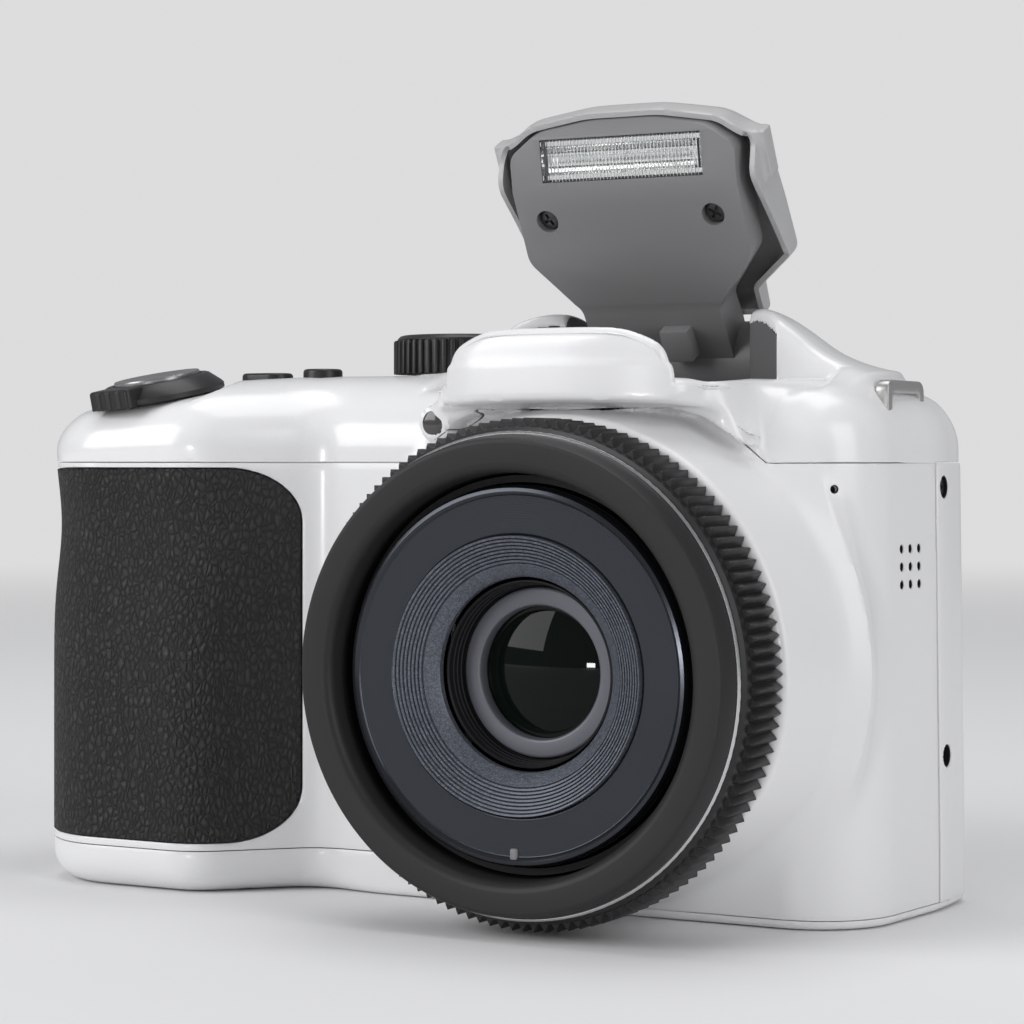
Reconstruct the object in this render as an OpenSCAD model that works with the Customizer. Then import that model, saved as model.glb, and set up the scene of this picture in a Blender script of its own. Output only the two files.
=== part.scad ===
// Bridge camera with a fixed zoom lens, a rubber grip and a lift-up flash.
// The origin lies on the base plane under the lens axis, +Z is up and the lens looks along -Y.

/* [Body] */
// Lens axis to the flank of the grip
body_left = 80; // [76:0.5:84]
// Foot of the lens bulge to the plain flank
flank_out = 3; // [2:0.5:6.5]
// Origin to the front face
body_front = 17; // [16:0.5:19]
// Origin to the rear face
body_rear = 17; // [16.5:0.5:19]
// Lens axis to the top plate
plate_rise = 36; // [34.5:0.5:38.5]
// Top plate to the seam under the top cover
cover_h = 11.4; // [10:0.1:12.3]
// Height of the seam over the bottom cover on the grip side
base_seam_h = 5.5; // [4.5:0.5:6]
// Height of the seam over the bottom cover on the plain side
base_lip_h = 1.2; // [1:0.1:1.6]
// Plane between the front and rear shells
split_y = 4.3; // [3.5:0.1:5]
// Wall of the mouldings
wall = 2; // [1.6:0.1:2.2]
// Radius of the edge round the base
base_edge_r = 4; // [3:0.25:5]
// Reach of the rounded top edge across the plate
top_edge_reach = 13; // [10:0.5:14]
// Drop of the rounded top edge
top_edge_drop = 9.7; // [8:0.1:10.5]
// Step of the rear shell past the front shell
rear_step = 0.5; // [0.2:0.1:0.8]

/* [Grip] */
// Reach of the grip in front of the front face
grip_depth = 12; // [9:0.5:14]
// Lens axis to the foot of the grip's inner slope
grip_foot = 40; // [38.5:0.5:43]
// Radius of the grip's outer front corner
grip_r = 13; // [10:0.5:14]
// Depth of the finger waist
waist_depth = 1; // [0:0.1:1.5]
// Height of the finger waist
waist_h = 47; // [44:0.5:50]
// Thickness of the rubber skin
rubber_t = 1.3; // [1:0.1:1.5]
// Height of the rubber over the skin of the body
rubber_proud = 0.15; // [0.05:0.05:0.3]
// Radius of the rubber's inner corners
rubber_r = 7; // [4:0.5:9]

/* [Lens] */
// Height of the lens axis
lens_h = 30.5; // [30.4:0.1:31]
// Ring front to the origin
ring_front = 41; // [40:0.5:43]
// Radius of the lens ring's face
ring_r = 27.8; // [27:0.1:28]
// Radius over the knurl
knurl_r = 29.9; // [29:0.1:30]
// Teeth on the knurl
knurl_teeth = 126; // [90:2:140]
// Depth of the knurl's teeth
knurl_depth = 0.7; // [0.4:0.1:0.9]
// Bore of the lens guide
guide_r = 23.5; // [23.4:0.1:24]
// Wall of the lens guide
guide_wall = 2.1; // [1.8:0.1:2.4]
// Radius of the front barrel
barrel_r = 22.1; // [21.6:0.1:22.1]
// Travel of the rear barrel out of the guide
rear_barrel_travel = 16; // [10:0.5:17]
// Travel of the front barrel out of the rear one
front_barrel_travel = 15; // [10:0.5:16]
// Outer radius of the ribbed baffle
baffle_r = 16.3; // [15.5:0.1:17]
// Ribs on the baffle
baffle_ribs = 7; // [4:1:9]
// Radius of the front element's opening
glass_r = 7.75; // [7:0.05:8.2]

/* [Flash] */
// Hinge axis behind the origin
flash_hinge_y = 7.5; // [7:0.1:8]
// Height of the hinge axis over the top plate
hinge_rise = 1.7; // [1.5:0.1:2.3]
// Angle that the flash lifts
flash_lift = 62; // [50:1:64]
// Radius of the hinge pin
flash_pin_r = 1.2; // [1:0.1:1.5]
// Half the width of the flash cover
flash_half_w = 18; // [17:0.1:18.2]
// Half the width of the flash neck
neck_half_w = 12.3; // [11:0.1:12.6]
// Width of the flash window
window_w = 22; // [18:0.5:22.5]
// Height of the flash window
window_h = 5.2; // [4.2:0.1:5.4]

/* [Top controls] */
// Lens axis to the shutter axis
shutter_x = 63.5; // [62.5:0.5:64.5]
// Radius of the zoom lever's ring
lever_r = 8.6; // [7.5:0.1:8.8]
// Radius of the shutter button
shutter_r = 5.7; // [5:0.1:5.9]
// Travel of the shutter button
shutter_travel = 0.9; // [0.4:0.1:1]
// Lens axis to the mode dial's axis
dial_x = 31; // [30:0.5:36]
// Radius of the mode dial
dial_r = 9; // [7:0.25:9.5]
// Height of the mode dial
dial_h = 5.2; // [4:0.1:6]
// Teeth on the mode dial
dial_teeth = 48; // [30:2:60]
// Travel of the small buttons
button_travel = 0.5; // [0.3:0.1:0.6]

/* [Back] */
// Width of the screen window
screen_w = 64; // [56:1:66]
// Height of the screen window
screen_h = 46.5; // [42:0.5:47.5]
// Radius of the four-way pad
pad_r = 9.5; // [8:0.25:10]
// Radius of the small rear buttons
key_r = 2.6; // [2:0.1:3]

/* [Base] */
// Battery width across the grip
battery_w = 11; // [9:0.5:11.5]
// Battery length from front to back
battery_l = 31; // [28:0.5:31.5]
// Battery height
battery_h = 39; // [34:0.5:42]
// Lens axis to the tripod socket
tripod_x = 37; // [36.5:0.5:40]
// Radius of the tripod socket
tripod_r = 3.175; // [3.175]
// Depth of the tripod socket
tripod_depth = 5.5; // [4.5:0.5:7]

/* [Hidden] */
// Clearance between fixed pieces
fit_gap = 0.1;
// Clearance between moving pieces
run_gap = 0.3;
// Running clearance of a pin
pin_gap = 0.05;
// Overlap that keeps a cut clean
cut = 0.5;
// Length that clears the whole body
far = 200;
arc_steps = 6;
$fn = 64;

// Heights and reaches that follow the lens
plate_h = lens_h + plate_rise;
seam_h = plate_h - cover_h;
flash_hinge_h = plate_h + hinge_rise;
bulge_r = knurl_r + 0.3;
bulge_foot_r = bulge_r + 3.3;
body_right = bulge_foot_r + flank_out;

// Plan of the body
nose_y = body_front + grip_depth;
nose_inner_x = grip_foot + grip_depth;
nose_inner_r = 9;
slope_foot_r = 8;
rear_grip_r = 6;
rear_right_r = 5;
front_right_r = 11;
flank_bend_r = 40;
flank_bend_y = split_y + 1;
flank_front_draw = 2.8;
flank_rear_draw = 0.4;
waist_spread = 8;
slope_share = tan(22.5);
shoulder_h = plate_h - top_edge_drop;
least_r = 0.4;

// Lens stack along the axis, measured from the origin towards the front
bulge_front = nose_y;
bulge_fillet = 2.4;
bulge_bore_r = guide_r + guide_wall + 0.8;
knurl_front = ring_front - 3.6;
accent_t = 0.6;
guide_front = knurl_front + accent_t - 1;
guide_rear = 8;
flange_t = 2;
flange_r = bulge_bore_r + 1.4;
rear_barrel_r = guide_r - run_gap;
rear_barrel_wall = rear_barrel_r - barrel_r - run_gap;
rear_barrel_front = ring_front - 5;
rear_barrel_l = 28;
front_barrel_front = ring_front - 2.7;
front_barrel_l = 26;
front_barrel_wall = 0.9;
baffle_front = front_barrel_front + 0.2;
baffle_depth = 2.6;
baffle_rib_share = 0.62;
baffle_bore_r = glass_r + 2.9;
tube_bore_r = glass_r + 2.6;
retainer_front = ring_front - 9;
retainer_r = tube_bore_r - fit_gap;
retainer_t = 1.6;

// Flash head, described with the head folded down
head_rear_y = -6.7;
swing_gap = 1.4;
head_front_y = -28;
lip_h = plate_h - 1.3;
head_floor_h = plate_h - 4.3;
bulge_top_h = head_floor_h - 1;
knuckle_r = flash_pin_r + 3.8;
slot_half_w = neck_half_w + 0.5;
cover_wall = 1.4;
well_low_h = seam_h + 5;
well_rear_y = flash_hinge_y + knuckle_r + 1.8;
well_front_y = -body_front + wall + 0.4;
well_half_w = flash_half_w + 1.2;
well_wall = 1;
plate_low_h = plate_h - 3.9;
plate_high_h = plate_h - 0.9;
crease_y = -19.3;
window_tilt = 17.8;
window_y = -22.9;
window_low_h = plate_low_h + (crease_y - window_y) * tan(window_tilt);
window_t = 1.2;
flash_screw_x = 11.5;
flash_screw_y = -15.2;
flash_screw_r = 1.35;

// Top controls
shutter_y = -19.2;
shutter_seat_h = plate_h - 3;
shutter_tilt = [10, -5, 0];
lever_hub_r = 3.4;
lever_h = 2.6;
lever_tab_angle = 260;
dial_y = 4;
dial_shaft_r = 2.4;
drive_at = [-54, -8];
power_at = [-46.2, -6.5];
lamp_turn = 33.87;
lamp_out = bulge_foot_r + 2.03;
lamp_at = [-lamp_out * sin(lamp_turn), lens_h + lamp_out * cos(lamp_turn)];
lamp_r = 1.65;
lamp_front_y = -22.4;

// Strap loops
lug_long = 12.4;
lug_leg = 1.6;
lug_w = 1.8;
lug_tall = 5.4;
lug_inset = 3.6;
lug_y = 1.4;
lug_low_h = shoulder_h + 0.88 * top_edge_drop - 5.6;

// Back
rear_y = body_rear;
key_flange = 0.7;
key_proud = 0.8;
screen_low = base_edge_r + 1.6;
pad_at = [-58, 30];
record_at = [-47.5, 48.6];
menu_at = [-47.5, 42];
play_at = [-68.5, 42];
erase_at = [-47.5, 17.5];
info_at = [-68.5, 17.5];
ok_r = pad_r - 5.6;

// Inside
capacitor_r = 4.6;
mic_turn = 35;
mic_r = 1.2;
mic_h = seam_h - 3.1;
corner_centre = [body_right - flank_front_draw - 0.883 * front_right_r, -body_front + front_right_r];

// Base
bay_wall = 1.2;
card_w = 3.4;
card_l = 25;
card_h = 28;
battery_x = -body_left + 8.8 + bay_wall;
battery_y = -nose_y + 8.1;
bay_x0 = battery_x - bay_wall - run_gap;
bay_w = battery_w + card_w + 3 * bay_wall + 2 * run_gap;
door_x0 = battery_x - 0.6;
door_x1 = -50.6;
door_y0 = battery_y - 0.6;
door_y1 = battery_y + battery_l + 0.6;
door_t = 1.8;
door_pin_r = 0.6;
door_barrel_r = 1.15;
door_axis_x = -49.2;
door_axis_h = 1.25;
door_pin_out = 1.5;
tripod_flange_r = tripod_r + 2.6;
boss_left_x = -grip_foot + 6;
boss_right_x = body_right - 11.5;
boss_y = -body_front + wall + 1.8;
base_screw_at = [[boss_left_x, boss_y], [boss_left_x, body_rear - 6], [boss_right_x, boss_y],
    [boss_right_x, body_rear - 6]];
flank_screw_h = [19, seam_h - 3];
flank_screw_y = 6.6;
screw_head_r = 1.35;
port_low = 24;
port_tall = 16;
port_front_y = 5.2;
port_rear_y = 10.6;
port_t = 1.4;

// Unit vector along v
function unit(v) = v / norm(v);

// Arc of radius r that rounds corner b between its neighbours a and c
function corner_arc(a, b, c, r) =
    let (u = unit(a - b), w = unit(c - b), half = acos(u * w) / 2)
    let (centre = b + unit(u + w) * r / sin(half), reach = r / tan(half))
    let (from = b + u * reach - centre, to = b + w * reach - centre)
    let (start = atan2(from.y, from.x), turn = atan2(to.y, to.x) - start)
    let (sweep = turn > 180 ? turn - 360 : turn < -180 ? turn + 360 : turn)
    [for (i = [0:arc_steps]) centre + r * [cos(start + sweep * i / arc_steps),
        sin(start + sweep * i / arc_steps)]];

// Closed outline through corners [x, y, radius]
function rounded(corners) =
    let (n = len(corners), at = [for (c = corners) [c.x, c.y]])
    [for (i = [0:n - 1]) each corner_arc(at[(i + n - 1) % n], at[i], at[(i + 1) % n], max(corners[i][2],
        least_r))];

// Finger waist of the grip at height z
function waist(z) = waist_depth * exp(-pow((z - waist_h) / waist_spread, 2));

// Plan of the body at height z, drawn in by d
function body_plan(z, d) = rounded([
    [body_right - flank_rear_draw - d, body_rear - d, rear_right_r - d],
    [-body_left + d, body_rear - d, rear_grip_r - d],
    [-body_left + d + waist(z), -nose_y + d + waist(z), grip_r - d],
    [-nose_inner_x - slope_share * d, -nose_y + d + waist(z), nose_inner_r - d],
    [-grip_foot - slope_share * d, -body_front + d, slope_foot_r + d],
    [body_right - flank_front_draw - d, -body_front + d, front_right_r - d],
    [body_right - d, flank_bend_y * (1 - d / body_rear), flank_bend_r * (1 - d / body_rear)]]);

// Ring of points at height z for a body drawn in by d
function body_ring(z, d) = [for (p = body_plan(z, d)) [p.x, p.y, z]];

// Solid skin through rings of equal length, closed at both ends
module loft(rings) {
    n = len(rings[0]);
    last = (len(rings) - 1) * n;
    sides = [for (j = [0:len(rings) - 2]) for (i = [0:n - 1])
        let (a = j * n + i, b = j * n + (i + 1) % n) each [[a, a + n, b], [b, a + n, b + n]]];
    ends = [[for (i = [0:n - 1]) i], [for (i = [n - 1:-1:0]) last + i]];
    polyhedron([for (r = rings) each r], concat(sides, ends));
}

// Body from the base to the plate, drawn in by d
module body_solid(d) {
    base_r = base_edge_r - d;
    base = [for (a = [0:18:90]) [base_r * (1 - cos(a)) + d, base_r * (1 - sin(a)) + d]];
    grip_levels = [for (z = [waist_h - 12, waist_h - 6, waist_h, waist_h + 5]) [z, d]];
    top = [for (a = [0:11.25:90]) [shoulder_h + (top_edge_drop - d) * sin(a),
        (top_edge_reach - d) * (1 - cos(a)) + d]];
    loft([for (level = concat(base, grip_levels, top)) body_ring(level[0], level[1])]);
}

// Lower part of the body, drawn in by d
module body_base(d) {
    base_r = base_edge_r - d;
    base = [for (a = [0:18:90]) [base_r * (1 - cos(a)) + d, base_r * (1 - sin(a)) + d]];
    levels = concat([[d - wall, base_edge_r]], base, [[base_seam_h + 2 * wall, d]]);
    intersection() {
        loft([for (level = levels) body_ring(level[0], level[1])]);
        slab(d, base_seam_h + wall);
    }
}

// Block that reaches over the whole body between two heights
module slab(low, high) {
    translate([-far / 2, -far / 2, low])
        cube([far, far, high - low]);
}

// Opening in the floor of the shells over the bottom cover
module floor_opening() {
    loft([for (z = [-cut, base_seam_h - cut]) body_ring(z, wall + base_edge_r / 2)]);
}

// Everything in front of plane y, or behind it
module front_of(y) {
    translate([-far / 2, y - far, -far / 2])
        cube([far, far, far]);
}

module behind(y) {
    translate([-far / 2, y, -far / 2])
        cube([far, far, far]);
}

// Space of the bottom cover, lower on the plain side of the lens
module base_zone(grow) {
    translate([-far, -far / 2, -cut])
        cube([far, far, base_seam_h + cut + grow]);
    translate([-cut, -far / 2, -cut])
        cube([far, far, base_lip_h + cut + grow]);
}

// Round piece on the lens axis from a profile of [radius, distance ahead of the origin]
module on_lens_axis(profile) {
    translate([0, 0, lens_h])
        rotate([90, 0, 0])
            rotate_extrude()
                polygon(profile);
}

// Rod along the lens direction from one distance ahead of the origin to another
module rod_y(at, r, near, ahead) {
    translate([at[0], -near, at[1]])
        rotate([90, 0, 0])
            cylinder(r = r, h = ahead - near);
}

// Rod along X
module rod_x(y, z, r, x0, x1) {
    translate([x0, y, z])
        rotate([0, 90, 0])
            cylinder(r = r, h = x1 - x0);
}

// Collar of the front shell round the lens, grown by the given amount
module bulge(grow) {
    on_lens_axis([[0, body_front - 5], [0, bulge_front + grow], [bulge_r - 0.4 + grow, bulge_front + grow],
        [bulge_r + grow, bulge_front - 0.4], [bulge_foot_r - 1 + grow, body_front + bulge_fillet],
        [bulge_foot_r + grow, body_front + bulge_fillet / 3], [bulge_foot_r + 1.6 + grow, body_front - 0.3],
        [bulge_foot_r + 1.6 + grow, body_front - 5]]);
}

// Grip area that the rubber covers, grown by the given amount
module rubber_zone(grow) {
    low = base_seam_h + 1;
    high = seam_h - 0.7;
    edge = -grip_foot - 1.6;
    out = -body_left - 10;
    translate([0, split_y - 2.3 + grow, 0])
        rotate([90, 0, 0])
            linear_extrude(far)
                polygon(rounded([[out, low - grow, 1], [edge + grow, low - grow, rubber_r],
                    [edge + grow, high + grow, rubber_r], [out, high + grow, 1]]));
}

// Screw boss with a gusset to the wall beside it
module boss(at, h, toward) {
    translate(at)
        cylinder(r = 2.2, h = h);
    hull() {
        translate(at)
            cylinder(r = 0.6, h = h, $fn = 16);
        translate(at + toward)
            cylinder(r = 0.6, h = h * 0.6, $fn = 16);
    }
}

// Line of the hump: y, top height, edge height, floor height, flat half width, edge half width
hump_line = [
    [body_rear - 0.8, plate_h + 0.3, plate_h - 0.3, seam_h + 0.2, 11, 26],
    [body_rear - 3, plate_h + 3.2, plate_h - 0.3, seam_h + 0.2, 12, 28],
    [9.5, plate_h + 6.3, plate_h - 0.3, seam_h + 0.2, 13, 29.5],
    [3, plate_h + 7.8, plate_h - 0.3, seam_h + 0.2, 13.5, 30.5],
    [-5, plate_h + 7.9, plate_h - 0.5, seam_h + 0.2, 13.5, 29.5],
    [-10, plate_h + 7.5, plate_h - 1.5, seam_h + 0.2, 13.5, 26],
    [-16, plate_h + 6.9, plate_h - 3.5, seam_h + 0.2, 13.5, 23.5],
    [-20, plate_h + 6.3, plate_h - 5.5, seam_h + 0.6, 13.5, 22.3],
    [lamp_front_y + 0.2, plate_h + 5.9, plate_h - 5.4, seam_h + 0.6, 13.3, 21.5],
    [lamp_front_y, plate_h + 5.9, plate_h - 4.7, seam_h + 6, 13.3, 21.4],
    [-24, plate_h + 5.6, plate_h - 4.6, seam_h + 6.2, 13, 20.6],
    [-27.5, plate_h + 4.9, plate_h - 4.4, seam_h + 6.3, 12.5, 18.6],
    [-29.2, plate_h + 4.2, plate_h - 4.2, seam_h + 6.7, 11.8, 17.2],
    [-29.9, plate_h + 2.6, plate_h - 3.4, seam_h + 7.6, 11, 15.4]];

// Cross-section of the hump, as a smooth fall from its flat top to its edge
function hump_ring(s) =
    let (fall = function (x) x < s[4] ? 1 : 0.5 + 0.5 * cos(180 * (x - s[4]) / (s[5] - s[4])))
    concat([[-s[5], s[0], s[3]], [s[5], s[0], s[3]]],
        [for (i = [10:-1:-10]) let (x = s[5] * sin(9 * i)) [x, s[0], s[2] + (s[1] - s[2]) * fall(abs(x))]]);

module hump() {
    loft([for (s = hump_line) hump_ring(s)]);
}

// Hinge between the shoulders, with the head folded down; children turn up with the head
module lifted() {
    translate([0, flash_hinge_y, flash_hinge_h])
        rotate([-flash_lift, 0, 0])
            translate([0, -flash_hinge_y, -flash_hinge_h])
                children();
}

// Line of the flash cover: y, top height, rim height, half width
cover_line = [
    [1.8, plate_h + 7.7, plate_h + 3.3, neck_half_w],
    [head_rear_y + 0.3, plate_h + 7.9, plate_h + 2.1, neck_half_w],
    [head_rear_y, plate_h + 7.9, plate_h + 1.9, flash_half_w],
    [-14, plate_h + 7.2, plate_h - 0.9, flash_half_w],
    [-21, plate_h + 6.1, plate_h - 3.6, flash_half_w],
    [-24.4, plate_h + 5.4, plate_h - 2.7, flash_half_w - 0.8],
    [-26.6, plate_h + 4.8, plate_h - 1.5, flash_half_w - 3.2],
    [head_front_y, plate_h + 4.2, plate_h - 0.1, flash_half_w - 7.4]];

// Cross-section of the flash cover drawn in by d
function cover_ring(s, d, y) =
    let (half = s[3] - d, low = s[2] - (d > 0 ? 2 : 0), rise = s[1] - d - low)
    concat([[-half, y, low], [half, y, low]],
        [for (i = [8:-1:-8]) let (u = sin(11.25 * i)) [half * u, y,
            low + 0.2 + (rise - 0.2) * sqrt(1 - pow(abs(u), 5))]]);

// Plan of the flash head grown by the given amount
function head_plan(grow) = rounded([
    [-flash_half_w - grow, head_rear_y + grow + swing_gap, 1],
    [-flash_half_w - grow, -25 - grow / 2, 4],
    [-12, head_front_y - grow, 8],
    [12, head_front_y - grow, 8],
    [flash_half_w + grow, -25 - grow / 2, 4],
    [flash_half_w + grow, head_rear_y + grow + swing_gap, 1]]);

// Frame of the microphone, on the rounded front corner
module at_mic() {
    translate([corner_centre.x, corner_centre.y, mic_h])
        rotate([0, 0, mic_turn])
            children();
}

// Place and lean of the shutter axis
module at_shutter() {
    translate([-shutter_x, shutter_y, shutter_seat_h])
        rotate(shutter_tilt)
            children();
}

// Toothed outline of a knurled rim
function toothed(r, depth, teeth, top, root) =
    let (pitch = 360 / teeth)
    [for (i = [0:teeth - 1]) for (step = [[-0.5 + root / 2, r - depth], [-top / 2, r], [top / 2, r],
        [0.5 - root / 2, r - depth]])
        step[1] * [cos((i + step[0]) * pitch), sin((i + step[0]) * pitch)]];

// Rounded slot outline of given width and height round the origin
module rounded_rect(w, h, r) {
    polygon(rounded([[-w / 2, -h / 2, r], [w / 2, -h / 2, r], [w / 2, h / 2, r], [-w / 2, h / 2, r]]));
}

// Cut through the rear wall in the shape of the children, drawn in the X-Z plane
module through_rear(at) {
    translate([at[0], rear_y + rear_step + cut, at[1]])
        rotate([90, 0, 0])
            linear_extrude(wall + rear_step + 2 * cut)
                children();
}

// Key on the back with a retaining flange inside the wall
module rear_key(at, r, proud, drop = 0) {
    head = rear_y - wall - fit_gap - drop;
    difference() {
        union() {
            rod_y(at, r, -(rear_y + rear_step + proud), -head + key_flange / 2);
            rod_y(at, r + 0.6, -head, -head + key_flange);
        }
        translate([at[0], rear_y + rear_step + proud + r * 3.9, at[1]])
            sphere(r = r * 4, $fn = 96);
    }
}

module front_shell() {
    color("whitesmoke")
        difference() {
            union() {
                difference() {
                    intersection() {
                        body_solid(0);
                        slab(0, seam_h - fit_gap / 2);
                        front_of(split_y - fit_gap / 2);
                    }
                    body_solid(wall);
                    base_zone(fit_gap / 2);
                    floor_opening();
                }
                intersection() {
                    bulge(0);
                    slab(0.4, bulge_top_h);
                    difference() {
                        slab(0, far);
                        translate([0, 0, lens_h])
                            rotate([-90, 0, 0])
                                translate([0, 0, -body_front + wall])
                                    cylinder(r = far, h = far);
                    }
                }
                for (z = [base_seam_h + 0.6, seam_h - 7])
                    for (x = [boss_left_x, boss_right_x])
                        for (lean = [-1.6, 1.6])
                            boss([x, boss_y, z], 6, [lean, -1.8, 0]);
            }
            on_lens_axis([[0, -far], [0, far], [bulge_bore_r, far], [bulge_bore_r, -far]]);
            on_lens_axis([[0, -far], [0, body_front - wall], [flange_r + fit_gap, body_front - wall],
                [flange_r + fit_gap, -far]]);
            for (x = [boss_left_x, boss_right_x])
                translate([x, boss_y, 0])
                    cylinder(r = 0.9, h = base_seam_h + 6, $fn = 16);
            difference() {
                rubber_zone(fit_gap);
                body_solid(rubber_t - rubber_proud + fit_gap);
            }
            for (y = [-4.7, -2.5, -0.3])
                for (z = [-2.15, 0, 2.15])
                    rod_x(y, 42.6 + z, 0.55, body_right - 8, body_right + cut, $fn = 10);
            at_mic()
                rod_y([0, 0], 0.55, front_right_r - wall - cut, front_right_r + cut, $fn = 12);
        }
}

module rear_shell() {
    pad_levels = [[base_lip_h + fit_gap / 2, 2.2], [base_lip_h + 3, -rear_step],
        [seam_h - 2.2, -rear_step], [seam_h - fit_gap / 2, 0.3]];
    color("whitesmoke")
        difference() {
            intersection() {
                loft([for (level = pad_levels) body_ring(waist_h - 3 * waist_spread,
                    level[1]) + [for (i = [1:7 * (arc_steps + 1)]) [0, 0,
                    level[0] - waist_h + 3 * waist_spread]]]);
                behind(split_y + fit_gap / 2);
            }
            intersection() {
                body_solid(wall);
                slab(-cut, seam_h + cut);
            }
            base_zone(fit_gap / 2);
            floor_opening();
            through_rear([0, screen_low + screen_h / 2])
                rounded_rect(screen_w, screen_h, 2);
            for (at = [record_at, menu_at, play_at, erase_at, info_at])
                through_rear(at)
                    circle(r = key_r + run_gap, $fn = 24);
            through_rear(pad_at)
                circle(r = pad_r + run_gap, $fn = 48);
            for (z = flank_screw_h) {
                rod_x(flank_screw_y, z, screw_head_r + fit_gap, body_right - 1.55, body_right + 2, $fn = 20);
                rod_x(flank_screw_y, z, 0.95, body_right - wall - 2, body_right + 2, $fn = 16);
            }
            translate([-body_left - rear_step - cut, port_front_y - run_gap, port_low - run_gap])
                cube([port_t + cut + run_gap, port_rear_y - port_front_y + 2 * run_gap,
                    port_tall + 2 * run_gap]);
            translate([-body_left - cut, port_front_y + 0.9, port_low + 3.4])
                cube([wall + 2 * cut, port_rear_y - port_front_y - 1.8, port_tall - 6.8]);
        }
}

module top_cover() {
    color("white")
        difference() {
            union() {
                intersection() {
                    body_solid(0);
                    slab(seam_h + fit_gap / 2, far);
                }
                hump();
                rod_y(lamp_at, lamp_r + 1, body_front - wall, -lamp_front_y);
            }
            difference() {
                intersection() {
                    body_solid(wall);
                    slab(seam_h - cut, plate_h - wall);
                }
                difference() {
                    at_shutter()
                        translate([0, 0, -wall])
                            cylinder(r = lever_r + 3, h = 12, $fn = 64);
                    translate([drive_at[0], drive_at[1], plate_h - 12])
                        linear_extrude(24)
                            rounded_rect(7.2 + 1.5, 4.6 + 1.5, 2.5);
                }
            }
            well_block(fit_gap);
            lug_sockets();
            intersection() {
                bulge(fit_gap);
                slab(0, bulge_top_h + fit_gap);
            }
            on_lens_axis([[0, -body_rear], [0, body_front], [flange_r + 0.5, body_front],
                [flange_r + 0.5, -body_rear + wall]]);
            translate([0, 0, head_floor_h])
                linear_extrude(far)
                    polygon(head_plan(0.5));
            translate([-26, head_front_y + 1.4, lip_h])
                cube([52, head_rear_y + swing_gap - head_front_y - 1.2, far]);
            translate([-slot_half_w, head_rear_y - cut, seam_h + 5])
                cube([2 * slot_half_w, flash_hinge_y + knuckle_r + 0.6 - head_rear_y + cut, far]);
            rod_x(flash_hinge_y, flash_hinge_h, flash_pin_r + fit_gap, -slot_half_w - 3, slot_half_w + 3,
                $fn = 32);
            at_shutter() {
                cylinder(r = lever_r + 1.6, h = 12, $fn = 64);
                translate([0, 0, -8])
                    cylinder(r = lever_hub_r + run_gap, h = 12, $fn = 32);
            }
            translate([-dial_x, dial_y, plate_h - 10])
                cylinder(r = dial_shaft_r + run_gap, h = 20, $fn = 32);
            translate([-dial_x, dial_y, plate_h])
                cylinder(r = dial_r + 2 * run_gap, h = far);
            translate([drive_at[0], drive_at[1], plate_h - 10])
                linear_extrude(20)
                    rounded_rect(7.2 + 2 * run_gap, 4.6 + 2 * run_gap, 2.3 + run_gap);
            translate([power_at[0], power_at[1], plate_h - 10])
                cylinder(r = key_r + run_gap, h = 20, $fn = 24);
            rod_y(lamp_at, lamp_r + fit_gap, body_front + 1, -lamp_front_y + cut, $fn = 24);
        }
}

module bottom_cover() {
    color("whitesmoke")
        difference() {
            intersection() {
                body_base(0);
                base_zone(-fit_gap / 2);
            }
            body_base(wall);
            translate([0, -body_front + wall + fit_gap, lens_h])
                rotate([90, 0, 0])
                    linear_extrude(far)
                        polygon([for (a = [0:5:355]) (bulge_foot_r + 1.6 + fit_gap) * [cos(a), sin(a)]]);
            translate([door_x0 - run_gap, door_y0 - run_gap, -cut])
                cube([door_x1 - door_x0 + 2 * run_gap, door_y1 - door_y0 + 2 * run_gap, wall + 2 * cut]);
            translate([door_x1 - cut, door_y0 - run_gap, -cut])
                cube([door_axis_x + door_barrel_r + 2 * run_gap - door_x1 + cut,
                    door_y1 - door_y0 + 2 * run_gap, wall + 2 * cut]);
            rod_y([door_axis_x, door_axis_h], door_pin_r + fit_gap, -door_y1 - door_pin_out - fit_gap,
                -door_y0 + door_pin_out + fit_gap);
            translate([-tripod_x, 0, -cut])
                cylinder(r = tripod_flange_r + fit_gap, h = wall + 2 * cut);
            for (at = base_screw_at) {
                translate([at[0], at[1], -cut])
                    cylinder(r = screw_head_r + fit_gap, h = 0.9 + cut);
                translate([at[0], at[1], -cut])
                    cylinder(r = 0.95, h = wall + 2 * cut);
            }
        }
}

module grip_rubber() {
    color("dimgray")
        intersection() {
            rubber_zone(0);
            difference() {
                body_solid(-rubber_proud);
                body_solid(rubber_t - rubber_proud);
            }
        }
}

module af_lamp_lens() {
    color("darkred")
        intersection() {
            rod_y(lamp_at, lamp_r, body_front + 1, -lamp_front_y);
            translate([lamp_at[0], lamp_front_y + 3.5, lamp_at[1]])
                sphere(r = 3.9);
        }
}

// Outer form of the flash well, grown by the given amount
module well_block(grow) {
    translate([0, (well_front_y + well_rear_y) / 2, well_low_h])
        linear_extrude(plate_h - wall - well_low_h - fit_gap / 2 + grow / 2)
            rounded_rect(2 * (well_half_w + grow), well_rear_y - well_front_y + 2 * grow, 2);
}

module flash_well() {
    color("gray")
        difference() {
            well_block(0);
            translate([0, (well_front_y + well_rear_y) / 2, well_low_h + well_wall])
                linear_extrude(far)
                    rounded_rect(2 * (well_half_w - well_wall), well_rear_y - well_front_y - 2 * well_wall,
                        1.5);
            translate([-far / 2, -far, head_floor_h])
                cube([far, far + well_front_y + 3 * well_wall, far]);
        }
}

module flash_hinge_pin() {
    color("silver")
        rod_x(flash_hinge_y, flash_hinge_h, flash_pin_r, -slot_half_w - 2.8, slot_half_w + 2.8);
}

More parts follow.
